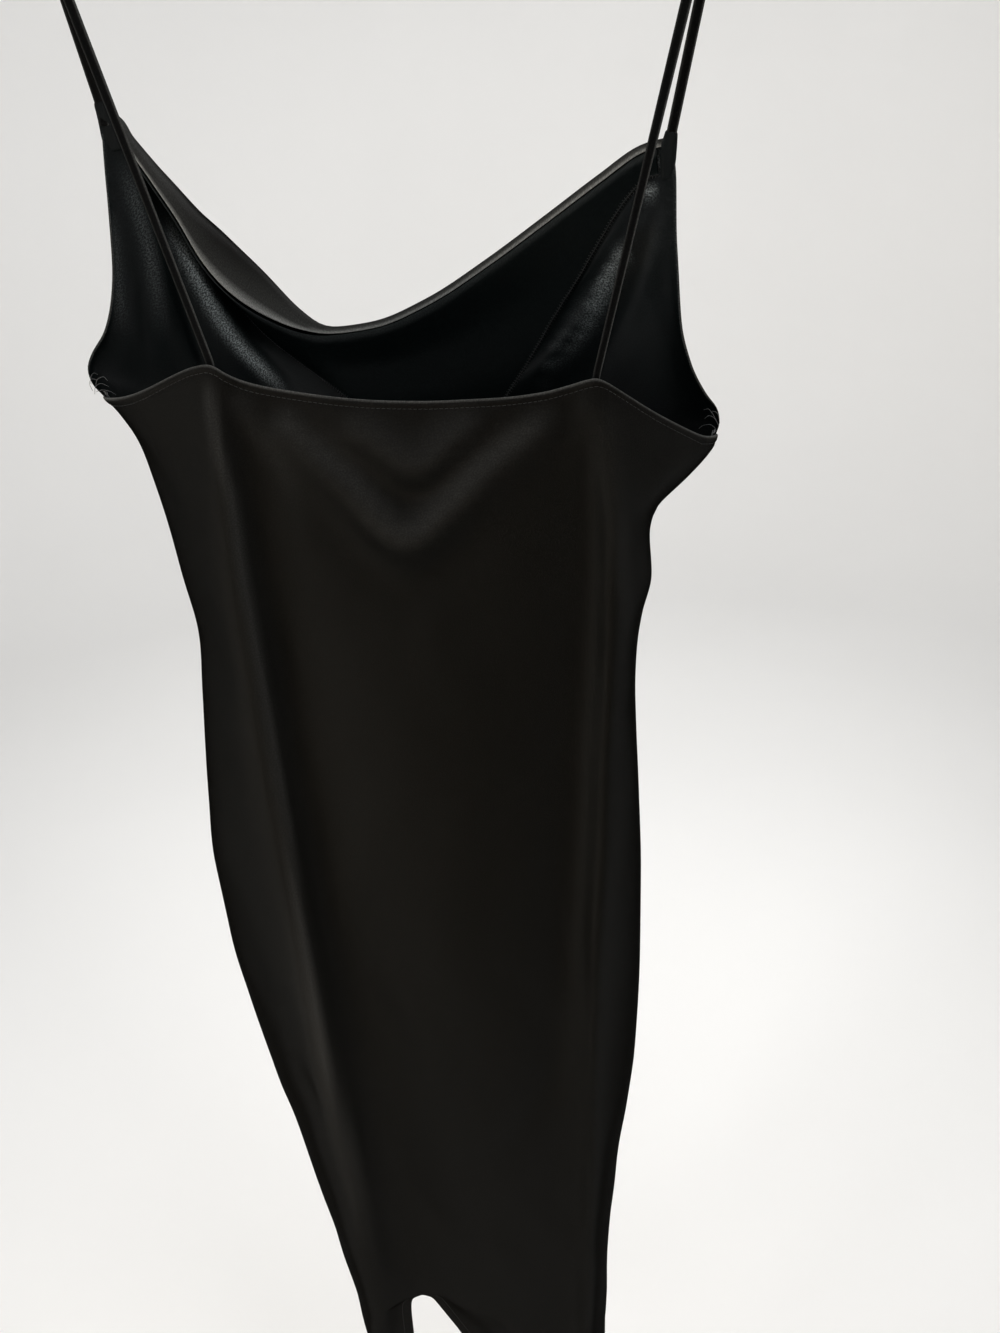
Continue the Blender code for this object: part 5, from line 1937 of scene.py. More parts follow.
@dataclass
class FrontForm:
    """Points of the front: the body below the underarm row, and the cowl above it."""

    form: BodyForm
    places: np.ndarray
    shares: np.ndarray = field(init=False)

    def __post_init__(self) -> None:
        """Measures the columns and keeps the neckline and armhole paths."""
        self.neck = Path(NECKLINE)
        self.left_edge = Path(LEFT_ARMHOLE)
        self.right_edge = Path(RIGHT_ARMHOLE)
        run = (self.places[-1] - self.places) / (self.places[-1] - self.places[0])
        z = LEFT_ARMHOLE[0][2] + (RIGHT_ARMHOLE[0][2] - LEFT_ARMHOLE[0][2]) * run
        spots = self.form.point(self.places, z - YOKE_DIP * np.sin(math.pi * run))
        gaps = np.linalg.norm(np.diff(spots, axis=0), axis=1)
        self.shares = np.concatenate([[0.0], np.cumsum(gaps) / gaps.sum()])

    def yoke(self) -> np.ndarray:
        """Height of the row that the cowl starts from, at each column."""
        return underarm(self.shares)

    def crest(self) -> tuple[np.ndarray, np.ndarray, np.ndarray, np.ndarray, np.ndarray]:
        """The neckline's fold at each column.

        Returns:
            The folded edge, the step up from it to the cloth's top, the roll's radius, and
            how far the roll's front and back stand out from the edge.
        """
        row = self.neck(1 - self.shares)
        ahead = self.neck(np.minimum(1.01 - self.shares, 1.0))
        along = ahead - self.neck(np.maximum(0.99 - self.shares, 0.0))
        square = unit(np.stack([-along[:, 2], 0 * along[:, 0], along[:, 0]], -1))
        rise, out = row[:, 3], row[:, 4]
        lift = square * np.maximum(LEAST_LIFT - rise * square[:, 2], 0.0)[:, None]
        lift[:, 2] += rise
        roll = np.minimum(0.0022 + 0.09 * np.maximum(out - 0.004, 0), 0.0045)
        near = 0.25 * out
        steep = np.minimum(square[:, 2] / 0.85, 1.0) ** 2
        back = near + np.maximum(out - 2.6 * roll - near, 0.0) * steep
        return row[:, :3], lift, roll, out, back

    def cowl(self, s: float | np.ndarray) -> np.ndarray:
        """Points between the underarm row (s 0) and the neckline (s 1).

        Args:
            s: One height for the row, or one for each column.

        Returns:
            One point for each column.
        """
        s = np.broadcast_to(np.asarray(s, float), self.places.shape)
        raw = self.drawn(self.places, self.shares, s, self.crest())
        ends = [0, len(self.places) - 1]
        crest = tuple(part[ends] for part in self.crest())
        moved = raw.copy()
        sides = ((self.right_edge, self.shares), (self.left_edge, 1 - self.shares))
        for k, (edge, share) in enumerate(sides):
            place = np.full(len(s), self.places[ends[k]])
            whole = np.full(len(s), float(k))
            fixed = tuple(np.repeat(part[k : k + 1], len(s), 0) for part in crest)
            side = self.drawn(place, whole, s, fixed)
            near = np.maximum(0.0, 1 - share / 0.45) ** 2
            moved += (edge(s) - side) * near[:, None]
        return moved

    def drawn(
        self,
        place: np.ndarray,
        share: np.ndarray,
        s: np.ndarray,
        crest: tuple[np.ndarray, ...],
    ) -> np.ndarray:
        """Points of the cowl before they are drawn to the armhole edges.

        Args:
            place: Places round the body.
            share: Shares of the way round the front.
            s: Heights, from 0 to 1.
            crest: The neckline's fold at each place.

        Returns:
            The points.
        """
        z = underarm(share)
        below = self.form.point(place, z - 0.004)
        start = self.form.point(place, z)
        edge, lift, roll, out, _ = crest
        size = np.linalg.norm(lift, axis=1)
        end = edge + lift * np.maximum(1 - roll / size, 0.3)[:, None]
        end[:, 1] += out
        length = np.linalg.norm(end - start, axis=1, keepdims=True)
        rise = unit(start - below) * length
        arrive = np.array([0.0, -0.1, 1.0]) * length
        t = s[:, None]
        point = start * (1 + 2 * t) * (1 - t) ** 2 + rise * t * (1 - t) ** 2
        point = point + end * t * t * (3 - 2 * t) + arrive * t * t * (t - 1)
        swell = sum(tall * bell(s - mid, wide) for mid, tall, wide in COWL_SWAGS)
        point[:, 1] += swell * np.maximum(np.sin(math.pi * share), 0.0) ** 1.3
        return point

    def column(self, r: np.ndarray) -> np.ndarray:
        """Points by height along each column: r 1 is the underarm row, 2 the neckline.

        Args:
            r: One height for each column.

        Returns:
            One point for each column.
        """
        z = self.yoke() - 0.1 * (1 - np.minimum(r, 1.0))
        body = self.form.point(self.places, z)
        return np.where((r >= 1)[:, None], self.cowl(np.clip(r - 1, 0.0, 1.0)), body)


@dataclass
class FrontPanel:
    """The front from hem to cowl neckline, whose cloth rolls over to a folded edge."""

    form: BodyForm
    finishes: Finishes
    single: float = 0.0011
    turned: float = 0.0021
    body_rows: int = 58
    cowl_rows: int = 36
    roll_rows: int = 9
    # Painted highlights: a line along the folded neckline edge and its width, a broad lightening of the
    # cloth beside it, and thin lines along the armhole edges on both faces
    painted_edge_highlight: float = 0.95
    edge_width: float = 0.0017
    painted_crest_highlight: float = 0.13
    painted_side_highlight: float = 0.14
    painted_side_inside_highlight: float = 0.22
    side_width: float = 0.0012
    grid: np.ndarray = field(init=False)

    def shape(self) -> tuple[np.ndarray, np.ndarray, np.ndarray]:
        """Works out the panel's points.

        Returns:
            The points, the wall shares and the puckers.
        """
        front = FrontForm(self.form, finer(FRONT_PLACES))
        top = front.yoke()
        rows = [front.form.point(front.places, np.full(len(top), z)) for z in HEM_ROWS]
        for share in ladder((0.0, 1.0, self.body_rows)):
            z = ABOVE_HEM_Z + (top - ABOVE_HEM_Z) * share
            rows.append(front.form.point(front.places, z))
        first_cowl = len(rows)
        for s in ladder((0.0, 1.0, self.cowl_rows))[1:]:
            rows.append(front.cowl(float(s)))
        edge, lift, roll, out, back = front.crest()
        size = np.linalg.norm(lift, axis=1)
        crown = edge + lift
        crown[:, 1] += out - 0.8 * roll
        inner = edge + lift * (1 - 0.6 * roll / size)[:, None]
        inner[:, 1] += back
        knots = [rows[-2], rows[-1], crown, inner, edge]
        last_cowl = len(rows)
        rows += self.rolled(knots)
        grid = np.array(rows)
        gap = seam_gap(grid)
        ahead = np.arange(len(grid), dtype=float)[:, None]
        hold = smooth(gap, 0.004, 0.03) * (1 - smooth(ahead, last_cowl - 9.0, last_cowl - 1.0))
        grid = lay_folds(grid, FRONT_FOLDS, Drift(seed=2.1), hold)
        above = grid[..., 2] - HEM_Z
        groove = seam_groove(gap) * (np.arange(len(grid)) < first_cowl)[:, None]
        grid = grid + normals(grid) * (hem_puff(above) + groove)[..., None]
        single = self.single / self.turned
        walls = np.full(grid.shape[:2], single)
        walls[: HEM_STITCH_ROW + 1, 2:-2] = 1.0
        walls[first_cowl + 4 : last_cowl, :2] = walls[first_cowl + 4 : last_cowl, -2:] = 0.8
        walls[last_cowl - 1 :] = single * 0.85
        pucker = bell(gap, 0.008) * 0.8
        pucker = np.maximum(pucker, 0.4 * bell(above - HEM_STITCH, 0.006))
        return grid, walls, pucker

    def rolled(self, knots: list[np.ndarray]) -> list[np.ndarray]:
        """Rows of the neckline's roll, on a smooth line through its knots.

        Args:
            knots: Rows of points; the first two are already in the panel.

        Returns:
            The rows after them.
        """
        spots = np.array(knots)
        gaps = np.sqrt(np.linalg.norm(np.diff(spots, axis=0), axis=-1)).mean(1)
        t = np.concatenate([[0.0], np.cumsum(gaps)])
        lean = np.gradient(spots, t, axis=0)
        found = []
        for where in np.linspace(t[1], t[-1], self.roll_rows + 1)[1:]:
            i = int(np.clip(np.searchsorted(t, where) - 1, 1, len(t) - 2))
            span = t[i + 1] - t[i]
            s = (where - t[i]) / span
            low = (1 + 2 * s) * (1 - s) ** 2 * spots[i] + s * (1 - s) ** 2 * span * lean[i]
            high = s * s * (3 - 2 * s) * spots[i + 1] + s * s * (s - 1) * span * lean[i + 1]
            found.append(low + high)
        return found

    def build(self) -> list[Piece]:
        """Makes the panel and its stitches.

        Returns:
            The panel first, then what is sewn on it.
        """
        self.grid, walls, pucker = self.shape()
        # Painted highlights of the outside and the inside, from the edge, the armholes and the tables of
        # strips
        edge = np.linalg.norm(self.grid - self.grid[-1], axis=-1)
        shine = self.painted_edge_highlight * bell(edge, self.edge_width)
        shine = shine + self.painted_crest_highlight * (1 - smooth(edge, 0.006, 0.045))
        side = bell(seam_gap(self.grid), self.side_width)
        side[: -self.roll_rows - self.cowl_rows + 3] = 0.0
        shine = np.maximum(np.maximum(shine, self.painted_side_highlight * side), painted_highlight_bands(self.grid, FRONT_PAINTED_HIGHLIGHTS))
        gleam = np.maximum(painted_highlight_bands(self.grid, FRONT_INSIDE_PAINTED_HIGHLIGHTS), self.painted_side_inside_highlight * side)
        shell = Shell("front_shell", self.grid, walls, self.turned, pucker, shine=shine, gleam=gleam)
        panel = shell.build(self.finishes.outer, self.finishes.inner)
        tree = surface(panel)
        lines = [laid(tree, self.grid[HEM_STITCH_ROW, 1:-1])]
        stitches = StitchRow("front_stitches", seed=5).build(lines, self.finishes.thread)
        return [panel, stitches]


@dataclass
class CowlFacing:
    """The facing inside the cowl, from its pointed lower edge up to the folded neckline."""

    form: BodyForm
    finishes: Finishes
    thickness: float = 0.0009
    rows: int = 30
    starts: float = 6.15
    stops: float = 11.6
    # Painted highlights along the facing's top and along its lower edge, and the lower one's width
    painted_top_highlight: float = 0.3
    painted_edge_highlight: float = 0.2
    edge_width: float = 0.0012
    grid: np.ndarray = field(init=False)

    def shape(self) -> np.ndarray:
        """Works out the facing's points.

        Returns:
            The points, as rows by columns by 3.
        """
        front = FrontForm(self.form, finer(FRONT_PLACES))
        places = front.places
        edge_z = Line([row[0] for row in FACING_EDGE], [row[1] for row in FACING_EDGE])
        low, high = np.zeros(len(places)), np.full(len(places), 2.0)
        for _ in range(22):
            middle = (low + high) / 2
            point = front.column(middle)
            under = point[:, 2] < edge_z(point[:, 0])
            low, high = np.where(under, middle, low), np.where(under, high, middle)
        start = np.minimum((low + high) / 2, 1.9)
        edge, _, _, out, _ = front.crest()
        loose = np.clip((out - 0.004) / 0.005, 0.0, 1.0)[:, None]
        ahead = np.gradient(edge, axis=0)
        below = unit(np.stack([-ahead[:, 2], 0 * ahead[:, 0], ahead[:, 0]], -1))
        shares = ladder((0.0, 1.0, self.rows))

        def behind(nudge: float) -> np.ndarray:
            """Rows of the front at the facing's rows, or a little above or below them."""
            heights = [np.clip(start + (2.0 - start) * t + nudge, 0.0, 2.0) for t in shares]
            return np.array([front.column(r) for r in heights])

        strip = behind(0.0)
        outward = unit(np.cross(np.gradient(strip, axis=1), behind(0.02) - behind(-0.02)))
        strip = strip - outward * FACING_INSET
        target = edge + below * (0.0008 + 0.0018 * loose)
        target[:, 1] += 0.0004
        t = shares[:, None, None]
        close = strip + (target - strip[-1]) * t * t
        straight = strip[0] + (target - strip[0]) * t
        hung = close * (1 - loose) + straight * loose
        return hung[:, (places > self.starts) & (places < self.stops)]

    def build(self) -> list[Piece]:
        """Makes the facing and the overlocked lower edge.

        Returns:
            The facing first, then its thread.
        """
        self.grid = self.shape()
        one = np.ones(self.grid.shape[:2])
        # Painted highlight at the top and along the lower edge
        top = np.linalg.norm(self.grid - self.grid[-1], axis=-1)
        low = np.linalg.norm(self.grid - self.grid[0], axis=-1)
        shine = self.painted_top_highlight * (1 - smooth(top, 0.002, 0.0065))
        shine = shine + self.painted_edge_highlight * bell(low, self.edge_width)
        shell = Shell(
            "cowl_facing_shell", self.grid, one, self.thickness, 0.2 * one, flip=True, shine=shine
        )
        facing = shell.build(self.finishes.facing, self.finishes.facing)
        tree = surface(facing)
        line = laid(tree, self.grid[0] * 0.85 + self.grid[1] * 0.15)
        loops = StitchRow("facing_overlock", Stitch.LOOP, 0.0021, 0.0, 0.00032, 0.0034, 7)
        return [facing, loops.build([line], self.finishes.thread)]


@dataclass
class SeamAllowance:
    """The overlocked turning inside one side seam, pressed towards the back."""

    name: str
    grid: np.ndarray
    from_left: bool
    finishes: Finishes
    width: float = 0.008
    thickness: float = 0.0009
    behind: float = 0.0017
    above: float = 0.0012
    columns: int = 9
    first_row: int = 3

    def shape(self) -> np.ndarray:
        """Works out the strip's points from the back panel's.

        Returns:
            The points, as rows by columns by 3.
        """
        grid = self.grid if self.from_left else self.grid[:, ::-1]
        out = normals(self.grid)
        out = out if self.from_left else out[:, ::-1]
        near, facing = grid[:, : self.columns], out[:, : self.columns]
        run = travelled(near, 1)
        places = self.width * np.array([0.08, 0.35, 0.62, 0.84, 1.0])
        rows = []
        for r in range(self.first_row, len(near)):
            wave = 0.0004 * math.sin(r * 0.83) + 0.0003 * math.sin(r * 2.1 + 1.0)
            drop = self.behind + wave + 0.0008 * (places / self.width) ** 2
            spot = [np.interp(places, run[r], near[r, :, k]) for k in range(3)]
            way = [np.interp(places, run[r], facing[r, :, k]) for k in range(3)]
            rows.append(np.stack(spot, -1) - np.stack(way, -1) * drop[:, None])
        lift = np.array([0.0, 0.0, self.above])
        rows += [rows[-1] + lift * 0.5, rows[-1] + lift]
        strip = np.array(rows)
        return strip if self.from_left else strip[:, ::-1]

    def build(self) -> list[Piece]:
        """Makes the strip and its overlocked edge.

        Returns:
            The strip first, then its thread.
        """
        grid = self.shape()
        one = np.ones(grid.shape[:2])
        shell = Shell(self.name, grid, one, self.thickness, 0.6 * one)
        strip = shell.build(self.finishes.inner, self.finishes.inner)
        edge = grid[:, 4 if self.from_left else 0]
        inward = -normals(grid)[:, 2]
        row = StitchRow(f"{self.name}_overlock", Stitch.LOOP, 0.0026, 0.0, 0.00034, 0.0042, 11)
        lines = [(edge + inward * 0.0006, inward)]
        top = grid[-1]
        lines.append((top + inward[-1] * 0.0004, np.repeat(inward[-1:], len(top), 0)))
        return [strip, row.build(lines, self.finishes.overlock)]


@dataclass
class ThreadEnds:
    """Loose ends of overlock thread that stand out at an underarm."""

    name: str
    places: tuple[Rows, ...]
    finishes: Finishes
    radius: float = 0.00016

    def build(self) -> list[Piece]:
        """Makes the ends as one piece.

        Returns:
            The piece.
        """
        parts = []
        across = np.array([0.3, 1.0, 0.2])
        thin = np.linspace(1.0, 0.55, 12)
        for k, rows in enumerate(self.places):
            route = Path(np.array(rows))(np.linspace(0.0, 1.0, 12))
            parts.append(tube(f"{self.name}_{k}", route, circle(self.radius, 6), across, thin))
        joined = bmesh.new()
        for part in parts:
            joined.from_mesh(part.data)
            bpy.data.objects.remove(part)
        mesh = bpy.data.meshes.new(self.name)
        joined.to_mesh(mesh)
        joined.free()
        mesh.materials.append(self.finishes.overlock)
        piece = put(self.name, mesh)
        settle(piece)
        return [piece]


LEFT_THREADS = (
    ((-0.2225, 0.001, -0.4275), (-0.2205, -0.0005, -0.4225), (-0.2165, 0.0, -0.4205),
     (-0.212, 0.0015, -0.4232)),
    ((-0.222, 0.003, -0.424), (-0.219, 0.002, -0.418), (-0.215, 0.003, -0.4165),
     (-0.213, 0.004, -0.4195)),
    ((-0.2232, 0.0, -0.425), (-0.2238, -0.0012, -0.4205), (-0.2215, -0.0015, -0.417),
     (-0.218, -0.0008, -0.4178)),
    ((-0.2215, 0.0015, -0.4262), (-0.217, 0.001, -0.425), (-0.2125, 0.002, -0.4262),
     (-0.209, 0.0035, -0.429)),
    ((-0.224, 0.002, -0.421), (-0.2228, 0.001, -0.416), (-0.22, 0.0015, -0.4135),
     (-0.2185, 0.003, -0.415)),
)
RIGHT_THREADS = (
    ((0.21, 0.001, -0.4705), (0.2065, 0.0, -0.465), (0.203, 0.001, -0.4632),
     (0.2, 0.002, -0.4655)),
    ((0.2085, 0.003, -0.467), (0.205, 0.0025, -0.4615), (0.2025, 0.0035, -0.459),
     (0.1995, 0.0045, -0.4598)),
    ((0.2105, 0.0005, -0.469), (0.2095, -0.0008, -0.464), (0.207, -0.0012, -0.4605),
     (0.2045, -0.0005, -0.46)),
    ((0.2075, 0.0015, -0.472), (0.2035, 0.001, -0.4695), (0.1995, 0.002, -0.47),
     (0.1965, 0.003, -0.4725)),
)


# Straps


# Rows of (x, y, z, width, thickness) down the cloth that is turned round a strap's end
LEFT_POINT = (
    (-0.197, 0.0482, -0.2478, 0.0066, 0.0024),
    (-0.1968, 0.0484, -0.2486, 0.0084, 0.0038),
    (-0.1966, 0.0487, -0.251, 0.0092, 0.0048),
    (-0.1962, 0.0492, -0.2545, 0.0097, 0.0052),
    (-0.1957, 0.0498, -0.259, 0.0106, 0.0052),
    (-0.1952, 0.0503, -0.264, 0.0118, 0.0046),
    (-0.1948, 0.0506, -0.269, 0.0126, 0.0036),
    (-0.1945, 0.0507, -0.274, 0.0122, 0.0024),
    (-0.1943, 0.0506, -0.2775, 0.01, 0.0012),
)
RIGHT_POINT = (
    (0.1802, 0.0482, -0.2818, 0.0066, 0.0024),
    (0.18, 0.0484, -0.2826, 0.0084, 0.0038),
    (0.1797, 0.0486, -0.285, 0.0093, 0.0048),
    (0.1791, 0.0488, -0.2885, 0.0104, 0.0053),
    (0.1785, 0.0489, -0.293, 0.0112, 0.0052),
    (0.1782, 0.0489, -0.298, 0.0112, 0.0046),
    (0.178, 0.0487, -0.303, 0.0104, 0.0036),
    (0.1778, 0.0484, -0.308, 0.009, 0.0024),
    (0.1776, 0.048, -0.312, 0.0064, 0.0012),
)


@dataclass
class PointFold:
    """The front's cloth point, turned round the strap's sewn end."""

    name: str
    rows: Rows
    finishes: Finishes
    dent: float = 0.1

    def build(self) -> list[Piece]:
        """Makes the folded point.

        Returns:
            The piece.
        """
        table = Path(np.array(self.rows))(np.linspace(0.0, 1.0, 24))
        turn = (np.arange(STRAP_SIDES) + 0.5) * 2 * math.pi / STRAP_SIDES
        x = squared(np.cos(turn), 0.8) * 0.5
        y = np.sin(turn) * 0.5 * (1 - self.dent * bell(x + 0.12, 0.1) * 2)
        profile = np.stack([x, y], -1)
        piece = tube(self.name, table[:, :3], profile, np.array([1.0, 0.0, 0.0]), table[:, 3:5])
        return [finished(piece, self.finishes.inner, True)]


@dataclass
class Strap:
    """A flat rouleau strap from behind the front point, over the bar, to the back."""

    name: str
    ends: tuple[float, float, tuple[float, ...], tuple[float, ...]]
    finishes: Finishes
    width: float = 0.0072
    thickness: float = 0.0024
    groove: float = 0.00045
    gap: float = 0.0004
    sewn: float = 0.012
    taper: float = 0.3
    twist: float = 0.1
    # Painted highlights along the strap's right and left rims
    painted_rim_highlight: tuple[float, float] = (0.24, 0.09)

    def route(self) -> np.ndarray:
        """Centre line of the strap.

        Returns:
            Its points, from the front end to the back end.
        """
        front_x, back_x, front, back = self.ends
        seat, leave = upright([(front_x, 0.0, SEAT_Z), (back_x, 0.0, SEAT_Z)])
        front, back = np.array(front), np.array(back)
        radius = BAR_RADIUS + self.gap + 0.5 * self.thickness
        near = math.atan2(front[1] - radius, seat[2] - front[2])
        far = math.atan2(-back[1] - radius, leave[2] - back[2])
        start = seat + np.array([0, radius * math.cos(near), radius * math.sin(near)])
        end = leave + np.array([0, -radius * math.cos(far), radius * math.sin(far)])
        down = np.array([0, 0, -1.0])
        route = [front + down * step for step in np.linspace(self.sewn, 0.002, 6)]
        route += [front + (start - front) * t for t in ladder((0.0, 1.0, 16))[:-1]]
        for t in ladder((0.0, 1.0, 22)):
            angle = near + (math.pi - far - near) * t
            step = np.array([0, radius * math.cos(angle), radius * math.sin(angle)])
            route.append(seat + (leave - seat) * t + step)
        route += [end + (back - end) * t for t in ladder((0.0, 1.0, 34))[1:]]
        route += [back + down * step for step in np.linspace(0.002, self.sewn, 6)]
        return np.array(route)

    def profile(self) -> np.ndarray:
        """The strap's section, flat with a groove along the middle of each face."""
        turn = (np.arange(STRAP_SIDES) + 0.5) * 2 * math.pi / STRAP_SIDES
        x, y = squared(np.cos(turn), 0.75), squared(np.sin(turn), 0.6)
        dip = self.groove * bell(x * self.width / 2, 0.0009)
        return np.stack([x * self.width / 2, y * (self.thickness / 2 - dip)], -1)

    def build(self) -> list[Piece]:
        """Makes the strap.

        Returns:
            The strap.
        """
        route = self.route()
        across = upright([(1.0, 0.0, 0.0)])[0]
        roll = self.twist * np.sin(np.linspace(0.0, 7.0, len(route)))
        side = across[None, :] * np.cos(roll)[:, None] + DEEP * np.sin(roll)[:, None]
        profile = self.profile()
        along = np.linspace(0.0, 1.0, len(route))
        width = 1.0 - self.taper * smooth(along, 0.46, 0.95)
        scale = np.stack([width, np.ones(len(route))], -1)
        # Painted highlight, strongest at the two rims
        rim = profile[:, 0] / (self.width / 2)
        right, left = self.painted_rim_highlight
        shine = right * smooth(rim, 0.5, 0.95) + left * smooth(-rim, 0.5, 0.95)
        piece = tube(self.name, route, profile, side, scale, shine)
        return [finished(piece, self.finishes.rouleau, True)]


# Hanger


# Rows of (x, z) along the bar's right arm, from its middle
HANGER_ARM = (
    (0.0, -0.064),
    (0.012, -0.0645),
    (0.03, -0.0675),
    (0.06, -0.0755),
    (0.1, -0.0885),
    (0.14, -0.103),
    (0.16, -0.1115),
    (0.174, -0.118),
    (0.182, -0.1225),
    (0.188, SEAT_Z),
    (0.222, SEAT_Z),
    (0.229, -0.1225),
    (0.235, -0.118),
    (0.238, -0.112),
)
# Rows of (z, scale) up the collar
HANGER_COLLAR = (
    (-0.0625, 1.0),
    (-0.06, 0.98),
    (-0.0575, 0.86),
    (-0.056, 0.76),
    (-0.0545, 0.72),
    (-0.0535, 0.66),
    (-0.0532, 0.52),
)


@dataclass
class Hanger:
    """A plain moulded bar with a steel hook."""

    finishes: Finishes
    wire: float = 0.0019
    hook_inner: float = 0.019
    hook_turn: tuple[float, float] = (-74.0, 215.0)
    collar_radius: float = 0.0058

    @staticmethod
    def tip(
        end: np.ndarray, before: np.ndarray, radius: float, steps: int
    ) -> tuple[np.ndarray, np.ndarray]:
        """Rounds off the end of a rod.

        Args:
            end: The route's end.
            before: The route's point before it.
            radius: The rod's radius.
            steps: How many rings the round has, with the rod's own.

        Returns:
            The route past the end and how thin the rod is there, both outwards.
        """
        turn = np.linspace(0.0, math.pi / 2, steps)[1:]
        route = np.array([end + unit(end - before) * radius * 0.9 * s for s in np.sin(turn)])
        return route, np.cos(turn) * 0.94 + 0.06

    def bar(self) -> Piece:
        """Makes the bar with rounded ends.

        Returns:
            The piece.
        """
        right = [(x, 0.0, z) for x, z in HANGER_ARM]
        left = [(-x, 0.0, z) for x, z in reversed(HANGER_ARM[1:])]
        route = upright(Path(np.array(left + right))(np.linspace(0.0, 1.0, 150)))
        first, thin = self.tip(route[0], route[1], BAR_RADIUS, 6)
        last, _ = self.tip(route[-1], route[-2], BAR_RADIUS, 6)
        scale = np.concatenate([thin[::-1], np.ones(len(route)), thin])
        route = np.vstack([first[::-1], route, last])
        piece = tube("hanger_bar_body", route, circle(BAR_RADIUS, 20), DEEP, scale)
        return finished(piece, self.finishes.plastic)

    def hook(self) -> Piece:
        """Makes the hook's wire with a rounded tip.

        Returns:
            The piece.
        """
        radius = self.hook_inner + self.wire
        stem = HANGER_ARM[0][1] + BAR_RADIUS + 0.0003
        first, last = self.hook_turn
        route = [(0.0, 0.0, z) for z in (stem, -0.056, -0.053, -0.05)]
        for t in np.linspace(0.0, 1.0, 64):
            angle = math.radians(first + (last - first) * t)
            route.append((radius * math.cos(angle), 0.0, radius * math.sin(angle) - self.hook_inner))
        line = upright(np.array(route))
        end, thin = self.tip(line[-1], line[-2], self.wire, 5)
        scale = np.concatenate([np.ones(len(line)), thin])
        line = np.vstack([line, end])
        piece = tube("hanger_hook_wire", line, circle(self.wire, 14), DEEP, scale)
        return finished(piece, self.finishes.steel)

    def collar(self) -> Piece:
        """Makes the moulded collar that the hook stands in.

        Returns:
            The piece.
        """
        heights, scale = zip(*HANGER_COLLAR)
        route = upright(np.array([(0.0, 0.0, z) for z in heights]))
        piece = tube("hanger_collar", route, circle(self.collar_radius, 20), DEEP, np.array(scale))
        return finished(piece, self.finishes.plastic)

    def build(self) -> list[Piece]:
        """Makes the bar, the hook and the collar."""
        return [self.bar(), self.hook(), self.collar()]


# Studio


@dataclass(frozen=True)
class Lamp:
    """One soft light, its power in watts."""

    name: str
    place: Spot
    aim: Spot
    size: tuple[float, float]
    power: float
    tint: Colour = (1.0, 1.0, 1.0)
    spread: float = math.pi


LAMPS = (
    Lamp("left_strip", (-1.85, -1.5, -0.7), (0.0, 0.0, -0.9), (0.4, 2.1), 24.0),
    Lamp("left_low", (-1.5, -1.3, -1.35), (0.0, 0.0, -1.0), (0.5, 0.6), 3.8, (1.0, 0.86, 0.66), 1.75),
    Lamp("right_strip", (2.15, -0.95, -0.7), (0.0, 0.0, -0.9), (0.4, 2.1), 11.0),
    Lamp("front_high", (-0.45, -2.4, 0.75), (0.0, 0.0, -0.5), (0.9, 0.5), 14.0),
    Lamp("high_right", (1.1, -1.2, 1.1), (0.0, 0.0, -0.5), (0.7, 0.7), 14.0),
    Lamp("low_front", (-0.1, -1.5, -1.25), (0.0, 0.0, -1.2), (1.4, 0.4), 1.3, (1.0, 0.62, 0.26), 1.75),
    Lamp("rear", (1.5, 1.8, 0.35), (0.0, 0.0, -0.8), (0.5, 1.3), 6.4, spread=math.pi / 2),
    Lamp("rear_left", (-1.9, 1.5, 0.1), (0.0, 0.0, -0.85), (0.5, 1.3), 4.0, spread=math.pi / 2),
    Lamp("wall_wash", (0.0, 1.1, 0.9), (0.0, 3.4, -1.3), (2.4, 0.6), 62.0),
    Lamp("floor_wash", (0.0, 0.9, -0.1), (0.0, 1.7, -1.8), (1.8, 0.5), 1.0),
)


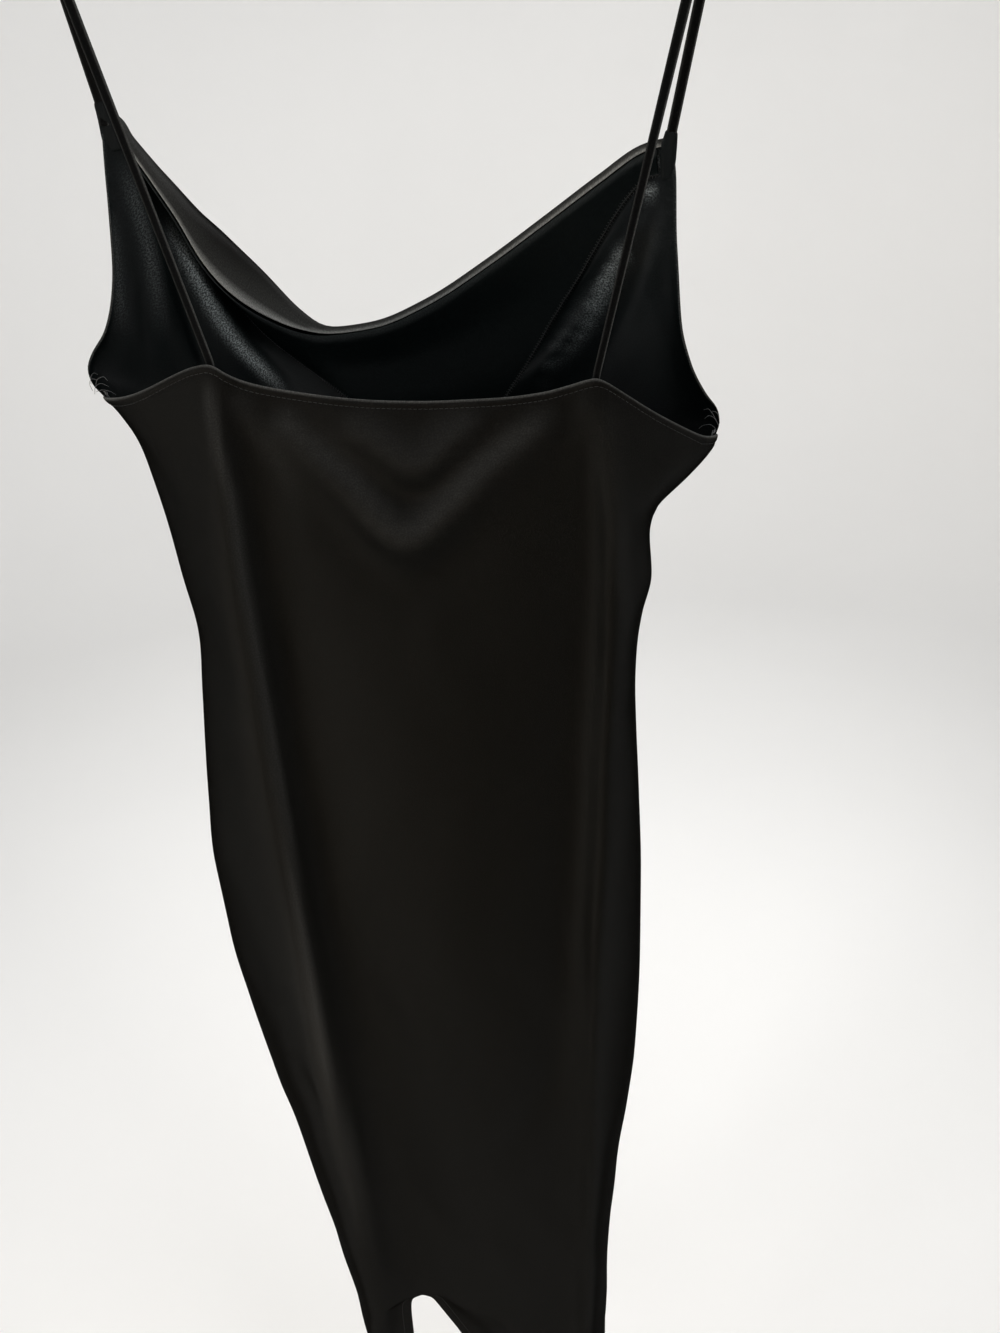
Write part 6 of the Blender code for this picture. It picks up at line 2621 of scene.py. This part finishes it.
@dataclass
class Studio:
    """Pale floor that curves up all round, soft lights and the camera."""

    finishes: Finishes
    floor_z: float = -1.8
    radius: float = 3.2
    bend: float = 1.2
    wall_top: float = 7.0
    eye: Spot = (0.047, -0.709, -0.32)
    pitch: float = math.radians(24.911)
    roll: float = math.radians(2.875)
    lens: float = 27.007
    sensor: float = 36.0
    sky: Colour = (0.96, 0.98, 1.0)
    sky_strength: float = 0.22

    def floor(self) -> None:
        """Makes the floor and its curved surround."""
        rings = [(self.radius * k / 6, 0.0) for k in range(1, 7)]
        for k in range(1, 9):
            turn = math.pi / 2 * k / 8
            rings.append((self.radius + self.bend * math.sin(turn), self.bend * (1 - math.cos(turn))))
        rings.append((self.radius + self.bend, self.wall_top))
        sides = 72
        points = [(0.0, 0.0, self.floor_z)]
        for far, up in rings:
            for k in range(sides):
                turn = 2 * math.pi * k / sides
                points.append((far * math.cos(turn), far * math.sin(turn), self.floor_z + up))
        faces = [(0, 1 + k, 1 + (k + 1) % sides) for k in range(sides)]
        for r in range(len(rings) - 1):
            for k in range(sides):
                j = (k + 1) % sides
                a, b = 1 + r * sides, 1 + (r + 1) * sides
                faces.append((a + k, b + k, b + j, a + j))
        mesh = bpy.data.meshes.new("studio_floor")
        mesh.from_pydata(points, [], faces)
        mesh.polygons.foreach_set("use_smooth", [True] * len(mesh.polygons))
        mesh.materials.append(self.finishes.paper)
        put("studio_floor", mesh)

    def light(self, lamp: Lamp) -> None:
        """Adds one soft rectangular light.

        Args:
            lamp: Where it stands, what it faces and how strong it is.
        """
        data = bpy.data.lights.new(lamp.name, "AREA")
        data.shape = "RECTANGLE"
        data.size, data.size_y = lamp.size
        data.energy = lamp.power
        data.color = lamp.tint
        data.spread = lamp.spread
        made = put(lamp.name, data)
        made.location = lamp.place
        way = Vector(lamp.aim) - Vector(lamp.place)
        made.rotation_euler = way.to_track_quat("-Z", "Y").to_euler()
        made.visible_camera = False

    def camera(self) -> None:
        """Sets the camera where the photograph was taken from."""
        ahead = np.array([0.0, math.cos(self.pitch), -math.sin(self.pitch)])
        up = np.array([0.0, math.sin(self.pitch), math.cos(self.pitch)])
        side = np.array([1.0, 0.0, 0.0])
        right = math.cos(self.roll) * side - math.sin(self.roll) * up
        top = math.sin(self.roll) * side + math.cos(self.roll) * up
        data = bpy.data.cameras.new("camera")
        data.lens = self.lens
        data.sensor_width = self.sensor
        data.sensor_fit = "AUTO"
        data.clip_start = 0.01
        data.clip_end = 50.0
        camera = put("camera", data)
        matrix = Matrix.Identity(4)
        for k, column in enumerate((right, top, -ahead)):
            for row in range(3):
                matrix[row][k] = column[row]
        matrix.translation = Vector(self.eye)
        camera.matrix_world = matrix
        bpy.context.scene.camera = camera

    def build(self) -> None:
        """Makes the floor, the lights, the surrounding light and the camera."""
        self.floor()
        for lamp in LAMPS:
            self.light(lamp)
        world = bpy.data.worlds.new("surround")
        bpy.context.scene.world = world
        world.use_nodes = True
        back = world.node_tree.nodes["Background"]
        back.inputs["Color"].default_value = (*self.sky, 1.0)
        back.inputs["Strength"].default_value = self.sky_strength
        bpy.context.scene.view_settings.view_transform = "Standard"
        self.camera()


def ride(pieces: list[Piece]) -> None:
    """Puts pieces on the dress's one body and logs how many faces each has.

    Args:
        pieces: The pieces.
    """
    for piece in pieces:
        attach(piece, BODY)
        log.info("%s: %d faces", piece.name, len(piece.data.polygons))


def main() -> None:
    """Builds every piece."""
    logging.basicConfig(level=logging.INFO, format="%(message)s")
    finishes = Finishes()
    Studio(finishes).build()
    form = BodyForm()
    back_panel = BackPanel(form, finishes)
    back = back_panel.build()
    front = FrontPanel(form, finishes).build()
    facing = CowlFacing(form, finishes).build()
    seams = SeamAllowance("left_allowance", back_panel.grid, True, finishes).build()
    seams += SeamAllowance("right_allowance", back_panel.grid, False, finishes).build()
    seams += ThreadEnds("left_thread_ends", LEFT_THREADS, finishes).build()
    seams += ThreadEnds("right_thread_ends", RIGHT_THREADS, finishes).build()
    points = PointFold("left_point_fold", LEFT_POINT, finishes).build()
    points += PointFold("right_point_fold", RIGHT_POINT, finishes).build()
    left = Strap("strap_left_rouleau", STRAP_LEFT, finishes).build()
    right = Strap("strap_right_rouleau", STRAP_RIGHT, finishes).build()
    hanger = Hanger(finishes).build()
    ride(back + front + seams + points)
    ride(facing)
    ride(left + right)
    ride([hanger[0], hanger[2]])
    ride([hanger[1]])
    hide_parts("back_panel")
    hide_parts("front_panel")
    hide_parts("cowl_facing")
    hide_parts("strap_left")
    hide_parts("strap_right")
    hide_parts("hanger_bar")
    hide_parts("hanger_hook")


if __name__ == "__main__":
    main()
